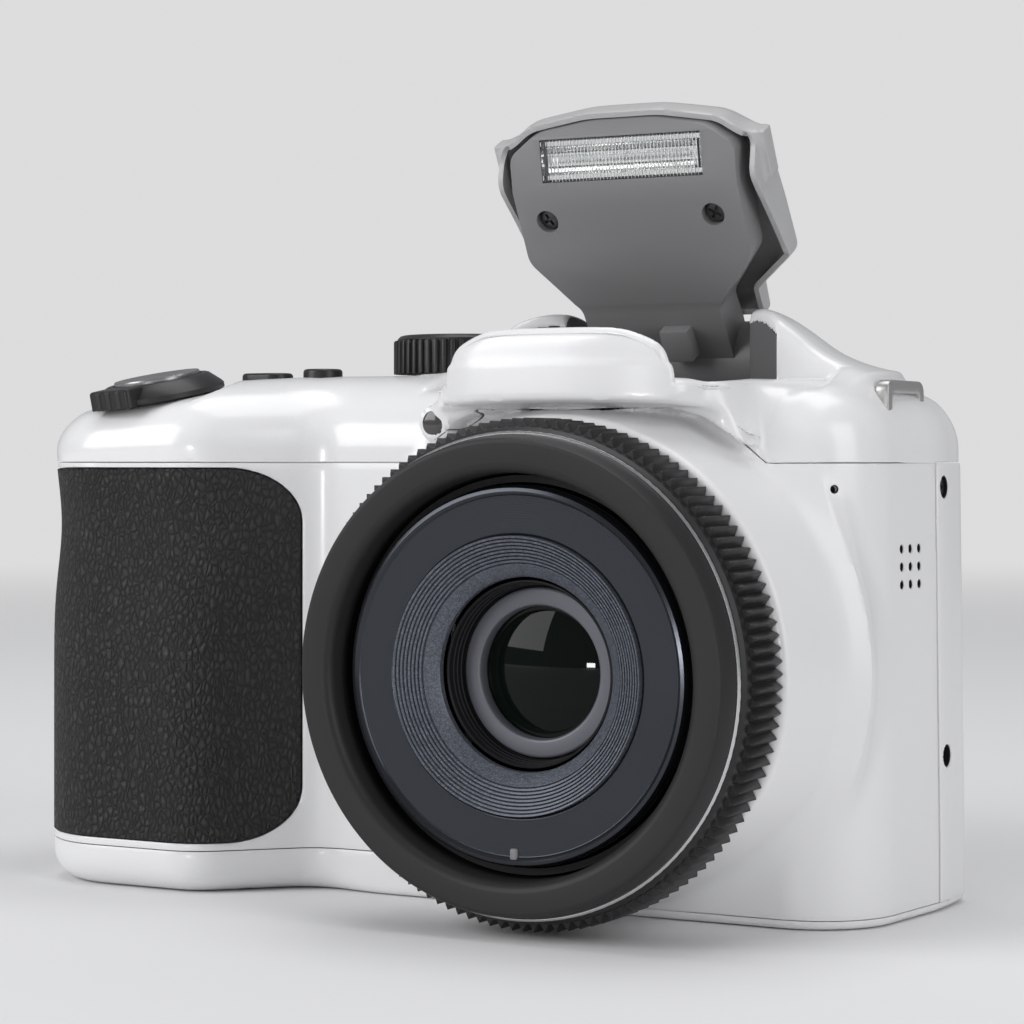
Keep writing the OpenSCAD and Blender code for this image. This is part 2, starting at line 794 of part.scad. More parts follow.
// Plan of the flash plate with its neck
function flash_plate_plan() = rounded([
    [-neck_half_w + 2.3, flash_hinge_y, 0.5], [-neck_half_w + 2.3, -4.6, 2],
    [-flash_half_w + 2.5, -11.4, 3], [-flash_half_w + 4.4, -24.9, 2.5],
    [-6, head_front_y + 1.7, 20], [6, head_front_y + 1.7, 20],
    [flash_half_w - 4.4, -24.9, 2.5], [flash_half_w - 2.5, -11.4, 3],
    [neck_half_w - 2.3, -4.6, 2], [neck_half_w - 2.3, flash_hinge_y, 0.5]]);

module flash_housing() {
    block_half = window_w / 2 + 1;
    color("gray")
        lifted()
            difference() {
                union() {
                    intersection() {
                        linear_extrude(far)
                            polygon(flash_plate_plan());
                        rotate([90, 0, 90])
                            translate([0, 0, -far / 2])
                                linear_extrude(far)
                                    polygon([[-27.6, plate_low_h + (crease_y + 27.6) * tan(window_tilt)],
                                        [crease_y, plate_low_h],
                                        [-3.5, plate_low_h],
                                            [flash_hinge_y, flash_hinge_h - knuckle_r + 1],
                                            [flash_hinge_y, flash_hinge_h + 1],
                                        [1.5, plate_h + 2.5], [-3.5, plate_high_h + 2.4],
                                            [-8, plate_high_h], [-27.6, plate_high_h + 1.2]]);
                    }
                    translate([-block_half, window_y - 3.6, plate_high_h - 1])
                        cube([2 * block_half, 7.4, 3]);
                    rod_x(flash_hinge_y, flash_hinge_h, knuckle_r, -neck_half_w, neck_half_w);
                    translate([-2.4, -3.6, plate_low_h - 1.2])
                        cube([4.8, 3.2, 3]);
                }
                rod_x(flash_hinge_y, flash_hinge_h, flash_pin_r + pin_gap, -far, far);
                translate([0, window_y, window_low_h])
                    rotate([-window_tilt, 0, 0])
                        translate([-window_w / 2 - fit_gap, -window_h / 2 - fit_gap, -2])
                            cube([window_w + 2 * fit_gap, window_h + 2 * fit_gap, 5]);
                for (side = [-1, 1])
                    translate([side * flash_screw_x, flash_screw_y, 0]) {
                        cylinder(r = flash_screw_r + fit_gap, h = plate_low_h + 1.8);
                        cylinder(r = 0.9, h = far);
                    }
            }
}

module flash_cover() {
    inner_y = [for (i = [0:len(cover_line) - 1])
        i == 0 ? cover_line[0][0] + cut : i == len(cover_line) - 1 ? head_front_y + cover_wall :
            i == 2 ? head_rear_y - cover_wall * 0.7 : cover_line[i][0]];
    color("gainsboro")
        lifted()
            difference() {
                loft([for (s = cover_line) cover_ring(s, 0, s[0])]);
                loft([for (i = [0:len(cover_line) - 1]) cover_ring(cover_line[i], cover_wall, inner_y[i])]);
            }
}

// Frame of the flash window, with its outer face up and the head's own X
module at_window() {
    lifted()
        translate([0, window_y, window_low_h])
            rotate([-window_tilt, 0, 0])
                children();
}

module flash_window() {
    ribs = 22;
    pitch = (window_w - 1) / ribs;
    color("aliceblue", 0.5)
        at_window()
            difference() {
                translate([-window_w / 2, -window_h / 2, 0])
                    cube([window_w, window_h, window_t]);
                for (i = [0:ribs - 1])
                    translate([(i + 0.5 - ribs / 2) * pitch, 0, window_t])
                        rotate([0, 45, 0])
                            cube([pitch * 0.5, window_h + 1, pitch * 0.5], center = true);
            }
}

module flash_reflector() {
    half = window_h / 2 - 0.2;
    deep = 1.7;
    skin = 0.4;
    color("silver")
        at_window()
            translate([-window_w / 2 + 0.3, 0, window_t + 0.05])
                rotate([90, 0, 90])
                    linear_extrude(window_w - 0.6)
                        difference() {
                            polygon([[-half, 0], [half, 0], [half - 0.5, deep * 0.7], [half - 1.3, deep],
                                [-half + 1.3, deep], [-half + 0.5, deep * 0.7]]);
                            polygon([[-half + skin, -cut], [half - skin, -cut],
                                [half - skin - 0.5, deep * 0.6], [half - skin - 1.2, deep - skin],
                                [-half + skin + 1.2, deep - skin], [-half + skin + 0.5, deep * 0.6]]);
                        }
}

module flash_tube() {
    color("lightcyan", 0.6)
        at_window()
            rod_x(0, window_t + 0.75, 0.5, -window_w / 2 + 1, window_w / 2 - 1);
}

// Cross-headed screw pointing up, with its head's face at the origin
module screw(head_r, head_h, length) {
    difference() {
        union() {
            cylinder(r = head_r, h = head_h);
            cylinder(r = 0.8, h = length);
        }
        for (turn = [0, 90])
            rotate([0, 0, turn])
                translate([-head_r * 0.7, -0.2, -cut])
                    cube([head_r * 1.4, 0.4, cut + head_h * 0.6]);
    }
}

module flash_screws() {
    color("dimgray")
        lifted()
            for (side = [-1, 1])
                translate([side * flash_screw_x, flash_screw_y, plate_low_h + 0.8])
                    screw(flash_screw_r, 0.95, 3);
}

module lens_guide() {
    color("black")
        difference() {
            on_lens_axis([[guide_r, -guide_rear], [guide_r, guide_front], [guide_r + guide_wall, guide_front],
                [guide_r + guide_wall, body_front - wall], [flange_r, body_front - wall],
                    [flange_r, body_front - wall - flange_t],
                [guide_r + guide_wall, body_front - wall - flange_t], [guide_r + guide_wall, -guide_rear]]);
            slab(-far, base_edge_r + fit_gap);
        }
}

module lens_ring() {
    color("dimgray")
        on_lens_axis([[guide_r, guide_front], [guide_r, ring_front - 0.9], [guide_r + 0.8, ring_front],
            [ring_r - 0.5, ring_front], [ring_r, ring_front - 0.6], [ring_r + 0.35, knurl_front + accent_t],
            [ring_r - 0.7, knurl_front + accent_t], [ring_r - 0.7, knurl_front],
                [guide_r + guide_wall + fit_gap, knurl_front],
                [guide_r + guide_wall + fit_gap, guide_front]]);
}

module accent_ring() {
    color("gainsboro")
        on_lens_axis([[ring_r - 0.7 + fit_gap, knurl_front], [ring_r - 0.7 + fit_gap, knurl_front + accent_t],
            [ring_r + 0.35, knurl_front + accent_t], [ring_r + 0.55, knurl_front + accent_t / 2],
                [ring_r + 0.5, knurl_front]]);
}

module knurled_ring() {
    teeth_front = knurl_front - 1.2;
    color("black")
        difference() {
            union() {
                translate([0, -bulge_front, lens_h])
                    rotate([90, 0, 0])
                        linear_extrude(teeth_front - bulge_front)
                            polygon(toothed(knurl_r, knurl_depth, knurl_teeth, 0.3, 0.2));
                on_lens_axis([[ring_r - 1, bulge_front + 1], [ring_r - 1, knurl_front],
                    [ring_r + 0.6, knurl_front],
                    [ring_r + 1, knurl_front - 0.4], [ring_r + 1, bulge_front + 1]]);
            }
            rod_y([0, lens_h], guide_r + guide_wall + fit_gap, bulge_front - cut, ring_front);
        }
}

module rear_barrel() {
    rear = rear_barrel_front - rear_barrel_l;
    color("black")
        on_lens_axis([[rear_barrel_r - rear_barrel_wall, rear],
            [rear_barrel_r - rear_barrel_wall, rear_barrel_front],
            [rear_barrel_r, rear_barrel_front], [rear_barrel_r, rear]]);
}

module front_barrel() {
    rear = front_barrel_front - front_barrel_l;
    floor = retainer_front - retainer_t - 1.2;
    color("darkslategray")
        on_lens_axis([[barrel_r - front_barrel_wall, rear], [barrel_r - front_barrel_wall, floor],
            [glass_r + 0.6, floor],
            [glass_r + 0.6, floor + 1.2], [tube_bore_r, floor + 1.2],
                [tube_bore_r, front_barrel_front - baffle_depth - 1],
            [baffle_r + fit_gap, front_barrel_front - baffle_depth - 1],
                [baffle_r + fit_gap, front_barrel_front - 0.5],
            [barrel_r - 0.6, front_barrel_front], [barrel_r, front_barrel_front - 0.4], [barrel_r, rear]]);
}

module baffle_ring() {
    low = front_barrel_front - baffle_depth - 1;
    rib_w = (baffle_r - baffle_bore_r) * baffle_rib_share / baffle_ribs;
    drop = (baffle_depth - 0.6) / baffle_ribs;
    ribs = [for (i = [0:baffle_ribs - 1]) each [[baffle_r - i * rib_w, baffle_front - i * drop],
        [baffle_r - (i + 1) * rib_w, baffle_front - i * drop - drop * 0.25]]];
    color("slategray")
        on_lens_axis(concat([[baffle_bore_r, low + 0.05], [baffle_r, low + 0.05]], ribs,
            [[baffle_bore_r + 0.4, baffle_front - baffle_depth],
                [baffle_bore_r, baffle_front - baffle_depth - 0.3]]));
}

module glass_retainer() {
    color("lightslategray")
        on_lens_axis([[glass_r + fit_gap, retainer_front - retainer_t],
            [glass_r + fit_gap, retainer_front - 0.7],
            [glass_r + 0.7, retainer_front], [retainer_r - 0.4, retainer_front],
                [retainer_r, retainer_front - 0.4],
            [retainer_r, retainer_front - retainer_t]]);
}

// Lens element of radius r with a bulged front, from its rear face forwards
module element(r, rear, thick, sag) {
    ball = (r * r + sag * sag) / (2 * sag);
    half = asin(r / ball);
    dome = [for (i = [8:-1:0]) [ball * sin(half * i / 8), rear + thick + sag - ball * (1 - cos(half * i / 8))]];
    on_lens_axis(concat([[0, rear], [r, rear]], dome));
}

module front_element() {
    color("darkgreen", 0.6)
        element(glass_r, retainer_front - retainer_t, 0.4, 0.9);
}

module middle_element() {
    color("lightcyan", 0.6)
        element(barrel_r - front_barrel_wall - 0.3, front_barrel_front - front_barrel_l + 2, 3, 2.5);
}

module shutter_unit() {
    rear = rear_barrel_front - rear_barrel_l - 7;
    color("black")
        on_lens_axis([[5, rear], [5, rear + 3], [guide_r - 0.2, rear + 4], [guide_r - 0.2, rear]]);
}

module rear_element() {
    color("lightcyan", 0.6)
        element(guide_r - 0.2, -3, 1.2, 1.6);
}

module image_sensor() {
    color("darkblue")
        translate([-6, guide_rear - 1.6, lens_h - 5])
            cube([12, 1.6, 10]);
}

module sensor_plate() {
    half = guide_r - 1;
    color("silver")
        translate([0, guide_rear + 1.2, lens_h])
            rotate([90, 0, 0])
                linear_extrude(1.2)
                    rounded_rect(2 * half, 2 * half, 3);
}

module zoom_motor() {
    reach = flange_r + 2.5;
    motor_at = [-reach * cos(38), lens_h + reach * sin(38)];
    ahead = body_front - wall - flange_t;
    color("silver") {
        rod_y(motor_at, 3.8, ahead - 18, ahead);
        rod_y(motor_at, 0.8, ahead - 20, ahead - 18);
    }
}

module zoom_lever() {
    color("dimgray")
        at_shutter()
            translate([0, 0, fit_gap])
                difference() {
                    union() {
                        rotate_extrude()
                            polygon([[lever_hub_r - 0.9, 0.6], [lever_hub_r - 0.9, -4.5],
                                [lever_hub_r, -4.5], [lever_hub_r, 0],
                                [lever_r, 0], [lever_r, 0.9], [lever_r - 1.7, lever_h],
                                    [shutter_r + run_gap, lever_h], [shutter_r + run_gap, 0.6]]);
                        rotate([0, 0, lever_tab_angle])
                            translate([lever_r - 2.6, -3.6, 0])
                                cube([3.5, 7.2, lever_h]);
                    }
                    rotate([0, 0, lever_tab_angle])
                        for (i = [-1.5:1:1.5])
                            translate([lever_r + 1.2, i * 1.8, -cut])
                                cylinder(r = 0.6, h = lever_h + 2, $fn = 24);
                }
}

module shutter_button() {
    top = lever_h + 0.5;
    color("gray")
        at_shutter()
            difference() {
                rotate_extrude()
                    polygon([[0, -5], [lever_hub_r - 0.9 - run_gap, -5],
                        [lever_hub_r - 0.9 - run_gap, shutter_travel + 1],
                        [shutter_r, shutter_travel + 1], [shutter_r, top - 0.3], [shutter_r - 0.4, top],
                            [0, top]]);
                translate([0, 0, top + 27.4])
                    sphere(r = 28, $fn = 128);
            }
}

module mode_dial() {
    base = plate_h + run_gap;
    color("black")
        translate([-dial_x, dial_y, base]) {
            linear_extrude(dial_h - 0.8)
                polygon(toothed(dial_r, 0.45, dial_teeth, 0.4, 0.2));
            translate([0, 0, dial_h - 0.8])
                rotate_extrude()
                    polygon([[0, 0], [dial_r - 0.5, 0], [dial_r - 1, 0.7], [dial_r - 1.6, 0.8],
                        [dial_r - 1.8, 0.5], [0, 0.5]]);
            translate([0, 0, -6])
                cylinder(r = dial_shaft_r, h = 6);
        }
}

// Button on the top plate with a flange under the plate
module plate_key(at, w, l, proud) {
    under = plate_h - wall - fit_gap - 0.6;
    translate([at[0], at[1], 0]) {
        translate([0, 0, under - 0.3])
            linear_extrude(plate_h + proud - under + 0.3)
                rounded_rect(w, l, min(w, l) / 2 - 0.01);
        translate([0, 0, under - key_flange])
            linear_extrude(key_flange)
                rounded_rect(w + 1, l + 1, min(w, l) / 2);
    }
}

module drive_button() {
    color("black")
        plate_key(drive_at, 7.2, 4.6, 0.9);
}

module power_button() {
    color("black")
        plate_key(power_at, 2 * key_r, 2 * key_r, 1);
}

// Sockets of the strap loops' legs in the shoulders
module lug_sockets() {
    for (x = [body_right - lug_inset, -body_left + lug_inset]) {
        for (end = [-1, 1])
            translate([x, lug_y + end * (lug_long - lug_leg) / 2, lug_low_h + lug_tall / 2])
                cube([lug_w + 2 * fit_gap, lug_leg + 2 * fit_gap, lug_tall + 2], center = true);
        translate([x, lug_y, lug_low_h + lug_tall])
            cube([lug_w + 2 * fit_gap, lug_long, 2 * (lug_leg + 0.5)], center = true);
    }
}

// Strap loop: a bar over two legs that run into the shoulder
module strap_lug() {
    long = lug_long;
    leg = lug_leg;
    translate([body_right - lug_inset, lug_y, lug_low_h])
        rotate([90, 0, 0])
            rotate([0, 90, 0])
                translate([0, 0, -lug_w / 2])
                    linear_extrude(lug_w)
                        difference() {
                            polygon(rounded([[-long / 2, 0, 0.3], [long / 2, 0, 0.3],
                                [long / 2, lug_tall, 1.4], [-long / 2, lug_tall, 1.4]]));
                            polygon(rounded([[-long / 2 + leg, -cut, 0.3], [long / 2 - leg, -cut, 0.3],
                                [long / 2 - leg, lug_tall - leg, 0.5],
                                    [-long / 2 + leg, lug_tall - leg, 0.5]]));
                        }
}

module strap_lugs() {
    mid = (body_right - body_left) / 2;
    color("silver") {
        strap_lug();
        translate([2 * mid, 0, 0])
            mirror([1, 0, 0])
                strap_lug();
    }
}

module body_screws() {
    color("dimgray") {
        for (z = flank_screw_h)
            translate([body_right + rear_step - 1.5, flank_screw_y, z])
                rotate([0, -90, 0])
                    screw(screw_head_r, 0.5, 3.6);
        for (at = base_screw_at)
            translate([at[0], at[1], 0.3])
                screw(screw_head_r, 0.55, at[1] < 0 ? 9 : 4);
    }
}

module speaker() {
    color("black")
        rod_x(-2.5, 42.6, 4.5, body_right - wall - 0.56 * flank_front_draw - 3.1,
            body_right - wall - 0.56 * flank_front_draw - 0.1);
}

module microphone() {
    color("silver")
        at_mic()
            rod_y([0, 0], mic_r, front_right_r - wall - 2.1, front_right_r - wall - 0.2);
}

module main_board() {
    color("darkgreen")
        translate([-grip_foot - 4, guide_rear + 1.3, screen_low + 1])
            cube([grip_foot + 4 + body_right - wall - 2.5, 1.2, seam_h - screen_low - 3]);
}

module flash_capacitor() {
    color("black")
        translate([-grip_foot + 3, guide_rear + 1.3 - capacitor_r, 14])
            cylinder(r = capacitor_r, h = 34);
}

module screen_panel() {
    color("darkslategray")
        translate([0, rear_y - wall - 0.1, screen_low + screen_h / 2])
            rotate([90, 0, 0])
                linear_extrude(2.6)
                    rounded_rect(screen_w - 4, screen_h + 1.6, 1);
}

module screen_window() {
    color("black", 0.7)
        translate([0, rear_y + rear_step - 0.2, screen_low + screen_h / 2])
            rotate([90, 0, 0])
                linear_extrude(wall + rear_step - 0.3)
                    rounded_rect(screen_w - 2 * fit_gap, screen_h - 2 * fit_gap, 1.9);
}

module record_button() {
    color("firebrick")
        rear_key(record_at, key_r, key_proud);
}

module menu_button() {
    color("gray")
        rear_key(menu_at, key_r, key_proud);
}

module play_button() {
    color("gray")
        rear_key(play_at, key_r, key_proud);
}

module erase_button() {
    color("gray")
        rear_key(erase_at, key_r, key_proud);
}

module info_button() {
    color("gray")
        rear_key(info_at, key_r, key_proud);
}

module four_way_pad() {
    head = rear_y - wall - fit_gap;
    face = rear_y + rear_step + 1;
    color("gray")
        difference() {
            union() {
                rod_y(pad_at, pad_r, -face, -head + key_flange / 2);
                rod_y(pad_at, pad_r + 0.8, -head, -head + key_flange);
            }
            rod_y(pad_at, ok_r + run_gap, -far, far);
            translate([pad_at[0], face + 40, pad_at[1]])
                sphere(r = 40.4, $fn = 128);
        }
}

module ok_button() {
    color("gray")
        rear_key(pad_at, ok_r, 0.9, key_flange + button_travel + run_gap);
}

module battery_bay() {
    top = wall + 0.6 + battery_h + bay_wall;
    color("black")
        difference() {
            translate([bay_x0 + bay_w / 2, battery_y + battery_l / 2, wall])
                linear_extrude(top - wall)
                    rounded_rect(bay_w, battery_l + 2 * bay_wall + 2 * run_gap, 3.5);
            translate([battery_x - run_gap, battery_y - run_gap, 0])
                cube([battery_w + 2 * run_gap, battery_l + 2 * run_gap, top - bay_wall]);
            translate([battery_x + battery_w + bay_wall - run_gap, battery_y + 3 - run_gap, 0])
                cube([card_w + 2 * run_gap, card_l + 2 * run_gap, wall + 0.6 + card_h + run_gap]);
        }
}

module battery() {
    color("darkslateblue")
        translate([battery_x + battery_w / 2, battery_y + battery_l / 2, wall + 0.6])
            linear_extrude(battery_h)
                rounded_rect(battery_w, battery_l, 1.5);
}

module card_slot() {
    color("silver")
        translate([battery_x + battery_w + bay_wall, battery_y + 3, wall + 0.6])
            difference() {
                cube([card_w, card_l, card_h]);
                translate([0.5, 0.4, -cut])
                    cube([card_w - 1, card_l - 0.8, card_h - 1]);
            }
}

module battery_door() {
    color("whitesmoke")
        difference() {
            union() {
                translate([door_x0, door_y0, 0])
                    cube([door_x1 - door_x0, door_y1 - door_y0, door_t]);
                translate([door_x1 - 1, door_y0, 0.1])
                    cube([door_axis_x - door_x1 + 1, door_y1 - door_y0, door_t - 0.1]);
                rod_y([door_axis_x, door_axis_h], door_barrel_r, -door_y1, -door_y0);
            }
            rod_y([door_axis_x, door_axis_h], door_pin_r + pin_gap, -far, far);
            translate([door_x0 + 2, (door_y0 + door_y1) / 2 - 2.6, -cut])
                cube([9, 5.2, 0.8 + cut]);
        }
}

module door_pin() {
    color("silver")
        rod_y([door_axis_x, door_axis_h], door_pin_r, -door_y1 - door_pin_out, -door_y0 + door_pin_out);
}

module battery_latch() {
    color("dimgray")
        translate([door_x0 + 2 + run_gap, (door_y0 + door_y1) / 2 - 2.2, 0.15])
            difference() {
                cube([5.6, 4.4, 0.6]);
                for (i = [1:4])
                    translate([i * 1.12, 0.6, -cut])
                        cube([0.4, 3.2, 0.25 + cut]);
            }
}

module tripod_socket() {
    color("silver")
        translate([-tripod_x, 0, 0])
            difference() {
                union() {
                    translate([0, 0, 0.1])
                        cylinder(r = tripod_flange_r, h = tripod_depth + 1.4);
                    translate([0, 0, wall + 0.05])
                        cylinder(r = tripod_flange_r + 1.2, h = 1.5, $fn = 6);
                }
                translate([0, 0, -cut])
                    cylinder(r = tripod_r, h = tripod_depth + 0.1 + cut);
            }
}

module usb_port() {
    deep = 6;
    y = (port_front_y + port_rear_y) / 2;
    z = port_low + port_tall / 2;
    color("silver")
        translate([-body_left + wall + 0.1, y, z])
            rotate([90, 0, 90])
                linear_extrude(deep)
                    difference() {
                        rounded_rect(3.3, 9, 1.2);
                        rounded_rect(2.5, 8.2, 1);
                    }
}

module port_cover() {
    color("white")
        translate([-body_left - rear_step, port_front_y, port_low]) {
            cube([port_t, port_rear_y - port_front_y - port_t / 2, port_tall]);
            translate([port_t / 2, port_rear_y - port_front_y - port_t / 2, 0])
                cylinder(r = port_t / 2, h = port_tall);
        }
}

front_shell();
rear_shell();
top_cover();
bottom_cover();
grip_rubber();
af_lamp_lens();
flash_well();
flash_hinge_pin();
flash_housing();
flash_cover();
flash_window();
flash_reflector();
flash_tube();
flash_screws();
lens_guide();
lens_ring();
accent_ring();
knurled_ring();
rear_barrel();
front_barrel();
baffle_ring();
glass_retainer();
front_element();
middle_element();
shutter_unit();
rear_element();
image_sensor();
sensor_plate();
zoom_motor();
zoom_lever();
shutter_button();
mode_dial();
drive_button();
power_button();
strap_lugs();
body_screws();
speaker();
microphone();
main_board();
flash_capacitor();
screen_panel();
screen_window();
record_button();
menu_button();
play_button();
erase_button();
info_button();
four_way_pad();
ok_button();
battery_bay();
battery();
card_slot();
battery_door();
door_pin();
battery_latch();
tripod_socket();
usb_port();
port_cover();
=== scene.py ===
"""Looks of a bridge camera with a lift-up flash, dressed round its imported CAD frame."""
from __future__ import annotations

import logging
import math
from dataclasses import dataclass, field
from enum import Enum
from typing import Callable, Iterable, Sequence, Union

import bpy
import numpy as np
from mathutils import Matrix, Vector


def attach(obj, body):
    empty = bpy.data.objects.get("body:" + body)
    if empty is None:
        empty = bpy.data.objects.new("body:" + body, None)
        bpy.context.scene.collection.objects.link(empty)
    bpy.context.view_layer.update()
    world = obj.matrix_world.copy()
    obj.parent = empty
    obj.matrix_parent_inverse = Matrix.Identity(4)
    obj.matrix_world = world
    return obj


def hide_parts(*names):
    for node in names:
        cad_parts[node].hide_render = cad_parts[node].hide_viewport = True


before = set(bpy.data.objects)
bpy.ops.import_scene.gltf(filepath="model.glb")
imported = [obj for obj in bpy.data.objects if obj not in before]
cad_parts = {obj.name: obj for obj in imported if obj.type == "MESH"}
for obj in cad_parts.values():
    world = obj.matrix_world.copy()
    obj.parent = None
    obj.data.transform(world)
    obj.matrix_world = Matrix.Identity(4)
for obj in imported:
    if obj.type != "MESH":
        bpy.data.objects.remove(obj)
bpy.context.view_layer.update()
LOG = logging.getLogger("camera_looks")
MM = 0.001
FAR = 5.0
CRISP = 0.015
Number = Union[int, float]
Pair = tuple[float, float]
Field = Callable[[np.ndarray], np.ndarray]


class Axis(Enum):
    """Direction that the top of a turned piece faces."""

    UP = "up"
    DOWN = "down"
    AHEAD = "ahead"
    BACK = "back"
    RIGHT = "right"

    def matrix(self, at: Sequence[float]) -> Matrix:
        """Gives the placing of a piece that is turned about Z.

        Args:
            at: place of the piece's origin, in millimetres.

        Returns:
            The matrix that puts the piece there.
        """
        turns = {
            Axis.UP: Matrix.Identity(4),
            Axis.DOWN: Matrix.Rotation(math.pi, 4, "X"),
            Axis.AHEAD: Matrix.Rotation(math.pi / 2, 4, "X"),
            Axis.BACK: Matrix.Rotation(-math.pi / 2, 4, "X"),
            Axis.RIGHT: Matrix.Rotation(math.pi / 2, 4, "Y"),
        }
        return Matrix.Translation(Vector(at)) @ turns[self]


class Value:
    """A shader socket that can be used in sums."""

    def __init__(self, graph: "Graph", out: bpy.types.NodeSocket) -> None:
        """Keeps the graph and the socket."""
        self.graph = graph
        self.out = out

    def _math(self, operation: str, first: "Term", second: "Term") -> "Value":
        """Adds one Math node.

        Args:
            operation: the node's operation.
            first: first term.
            second: second term.

        Returns:
            The node's output.
        """
        return self.graph.node("ShaderNodeMath", {"operation": operation}, {0: first, 1: second})

    def __add__(self, other: "Term") -> "Value":
        """Sum."""
        return self._math("ADD", self, other)

    def __radd__(self, other: "Term") -> "Value":
        """Sum with a number before it."""
        return self._math("ADD", other, self)

    def __sub__(self, other: "Term") -> "Value":
        """Difference."""
        return self._math("SUBTRACT", self, other)

    def __rsub__(self, other: "Term") -> "Value":
        """Difference from a number."""
        return self._math("SUBTRACT", other, self)

    def __mul__(self, other: "Term") -> "Value":
        """Product."""
        return self._math("MULTIPLY", self, other)

    def __rmul__(self, other: "Term") -> "Value":
        """Product with a number before it."""
        return self._math("MULTIPLY", other, self)

    def __pow__(self, other: "Term") -> "Value":
        """Power."""
        return self._math("POWER", self, other)

    def least(self, other: "Term") -> "Value":
        """Smaller of the two."""
        return self._math("MINIMUM", self, other)


Term = Union[Value, Number, Sequence[float]]


class Graph:
    """Node tree of one material round a Principled shader."""

    def __init__(self, name: str) -> None:
        """Makes an empty material with its shader and output."""
        self.material = bpy.data.materials.new(name)
        self.material.use_nodes = True
        self.tree = self.material.node_tree
        self.tree.nodes.clear()
        self.shader = self.tree.nodes.new("ShaderNodeBsdfPrincipled")
        self.out = self.tree.nodes.new("ShaderNodeOutputMaterial")
        self.tree.links.new(self.shader.outputs[0], self.out.inputs[0])

    def node(self, kind: str, settings: dict | None = None, sockets: dict | None = None,
             out: int = 0) -> Value:
        """Adds one node.

        Args:
            kind: node type.
            settings: node settings, set first; stops are a ramp's.
            sockets: values or links of its inputs.
            out: output that is wanted.

        Returns:
            That output.
        """
        made = self.tree.nodes.new(kind)
        for key, value in (settings or {}).items():
            if key == "stops":
                ramp = made.color_ramp
                while len(ramp.elements) < len(value):
                    ramp.elements.new(0.5)
                for element, (place, colour) in zip(ramp.elements, value):
                    element.position = place
                    element.color = (*colour, 1.0)
            else:
                setattr(made, key, value)
        for key, value in (sockets or {}).items():
            self.plug(made.inputs[key], value)
        return Value(self, made.outputs[out])

    def plug(self, target: bpy.types.NodeSocket, value: Term) -> None:
        """Links a value to a socket or sets a constant on it."""
        if isinstance(value, Value):
            self.tree.links.new(value.out, target)
        else:
            target.default_value = value

    def shade(self, **sockets: Term) -> None:
        """Sets the shader's sockets, named with underscores for spaces."""
        for key, value in sockets.items():
            if isinstance(value, tuple) and len(value) == 3 and key in ("Base_Color", "Emission_Color"):
                value = (*value, 1.0)
            self.plug(self.shader.inputs[key.replace("_", " ")], value)

    def place(self, scale: Sequence[float] = (1, 1, 1), at: Sequence[float] = (0, 0, 0)) -> Value:
        """Gives object coordinates, moved and scaled.

        Args:
            scale: factor on each axis, per metre.
            at: point in millimetres that becomes the origin.

        Returns:
            The vector.
        """
        coordinates = self.node("ShaderNodeTexCoord", out=3)
        moved = [-a * MM * s for a, s in zip(at, scale)]
        return self.node("ShaderNodeMapping", {}, {"Vector": coordinates, "Location": moved,
                                                   "Scale": tuple(scale)})

    def noise(self, size: float, detail: float = 2.0, rough: float = 0.5,
              where: Value | None = None) -> Value:
        """Gives noise.

        Args:
            size: size of its patches in millimetres.
            detail: octaves.
            rough: weight of the finer octaves.
            where: coordinates in metres.

        Returns:
            A value about 0.5.
        """
        vector = where or self.place()
        return self.node("ShaderNodeTexNoise", {}, {"Vector": vector, "Scale": 1 / (size * MM),
                                                    "Detail": detail, "Roughness": rough})

    def mix(self, factor: Term, first: Term, second: Term) -> Value:
        """Mixes two colours.

        Args:
            factor: share of the second.
            first: first colour.
            second: second colour.

        Returns:
            The colour.
        """
        colours = [(*c, 1.0) if isinstance(c, tuple) and len(c) == 3 else c for c in (first, second)]
        return self.node("ShaderNodeMix", {"data_type": "RGBA"}, {0: factor, 6: colours[0], 7: colours[1]},
                         out=2)

    def bump(self, height: Value, strength: float, depth: float) -> None:
        """Gives the shader a relief of the given depth in millimetres."""
        normal = self.node("ShaderNodeBump", {}, {"Strength": strength, "Distance": depth * MM,
                                                  "Height": height})
        self.shade(Normal=normal)


@dataclass(frozen=True)
class Finish:
    """A finish of the part; its subclasses draw their own nodes."""

    name: str
    colour: tuple[float, float, float]
    rough: float = 0.4

    def draw(self, graph: Graph) -> None:
        """Draws the finish's nodes."""
        raise NotImplementedError

    def material(self) -> bpy.types.Material:
        """Gives the finish's material, made at its first use."""
        name = "look_" + self.name
        known = bpy.data.materials.get(name)
        if known:
            return known
        graph = Graph(name)
        self.draw(graph)
        return graph.material


def dim(colour: Sequence[float], by: float) -> tuple[float, float, float]:
    """Gives a colour made darker or lighter by a factor."""
    return tuple(min(1.0, c * by) for c in colour)


@dataclass(frozen=True)
class Moulded(Finish):
    """Moulded or painted plastic with a fine skin."""

    grain: float = 0.25
    relief: float = 0.006
    gloss: float = 0.3
    clear: float = 0.1
    spread: float = 0.03
    metal: float = 0.0
    shine: float = 0.5

    def draw(self, graph: Graph) -> None:
        """Draws a soft change of tone, a skin of fine grain and a thin gloss."""
        clouds = graph.noise(14.0, 2.0)
        fine = graph.noise(self.grain, 2.0, 0.6)
        tone = graph.mix(clouds, dim(self.colour, 1 - self.spread), dim(self.colour, 1 + self.spread))
        graph.shade(Base_Color=tone, Roughness=self.rough + (fine - 0.5) * 0.16 + (clouds - 0.5) * 0.06)
        graph.shade(Metallic=self.metal, Coat_Weight=self.clear, Coat_Roughness=0.12,
                    Specular_IOR_Level=self.shine)
        graph.bump(fine, self.gloss, self.relief)


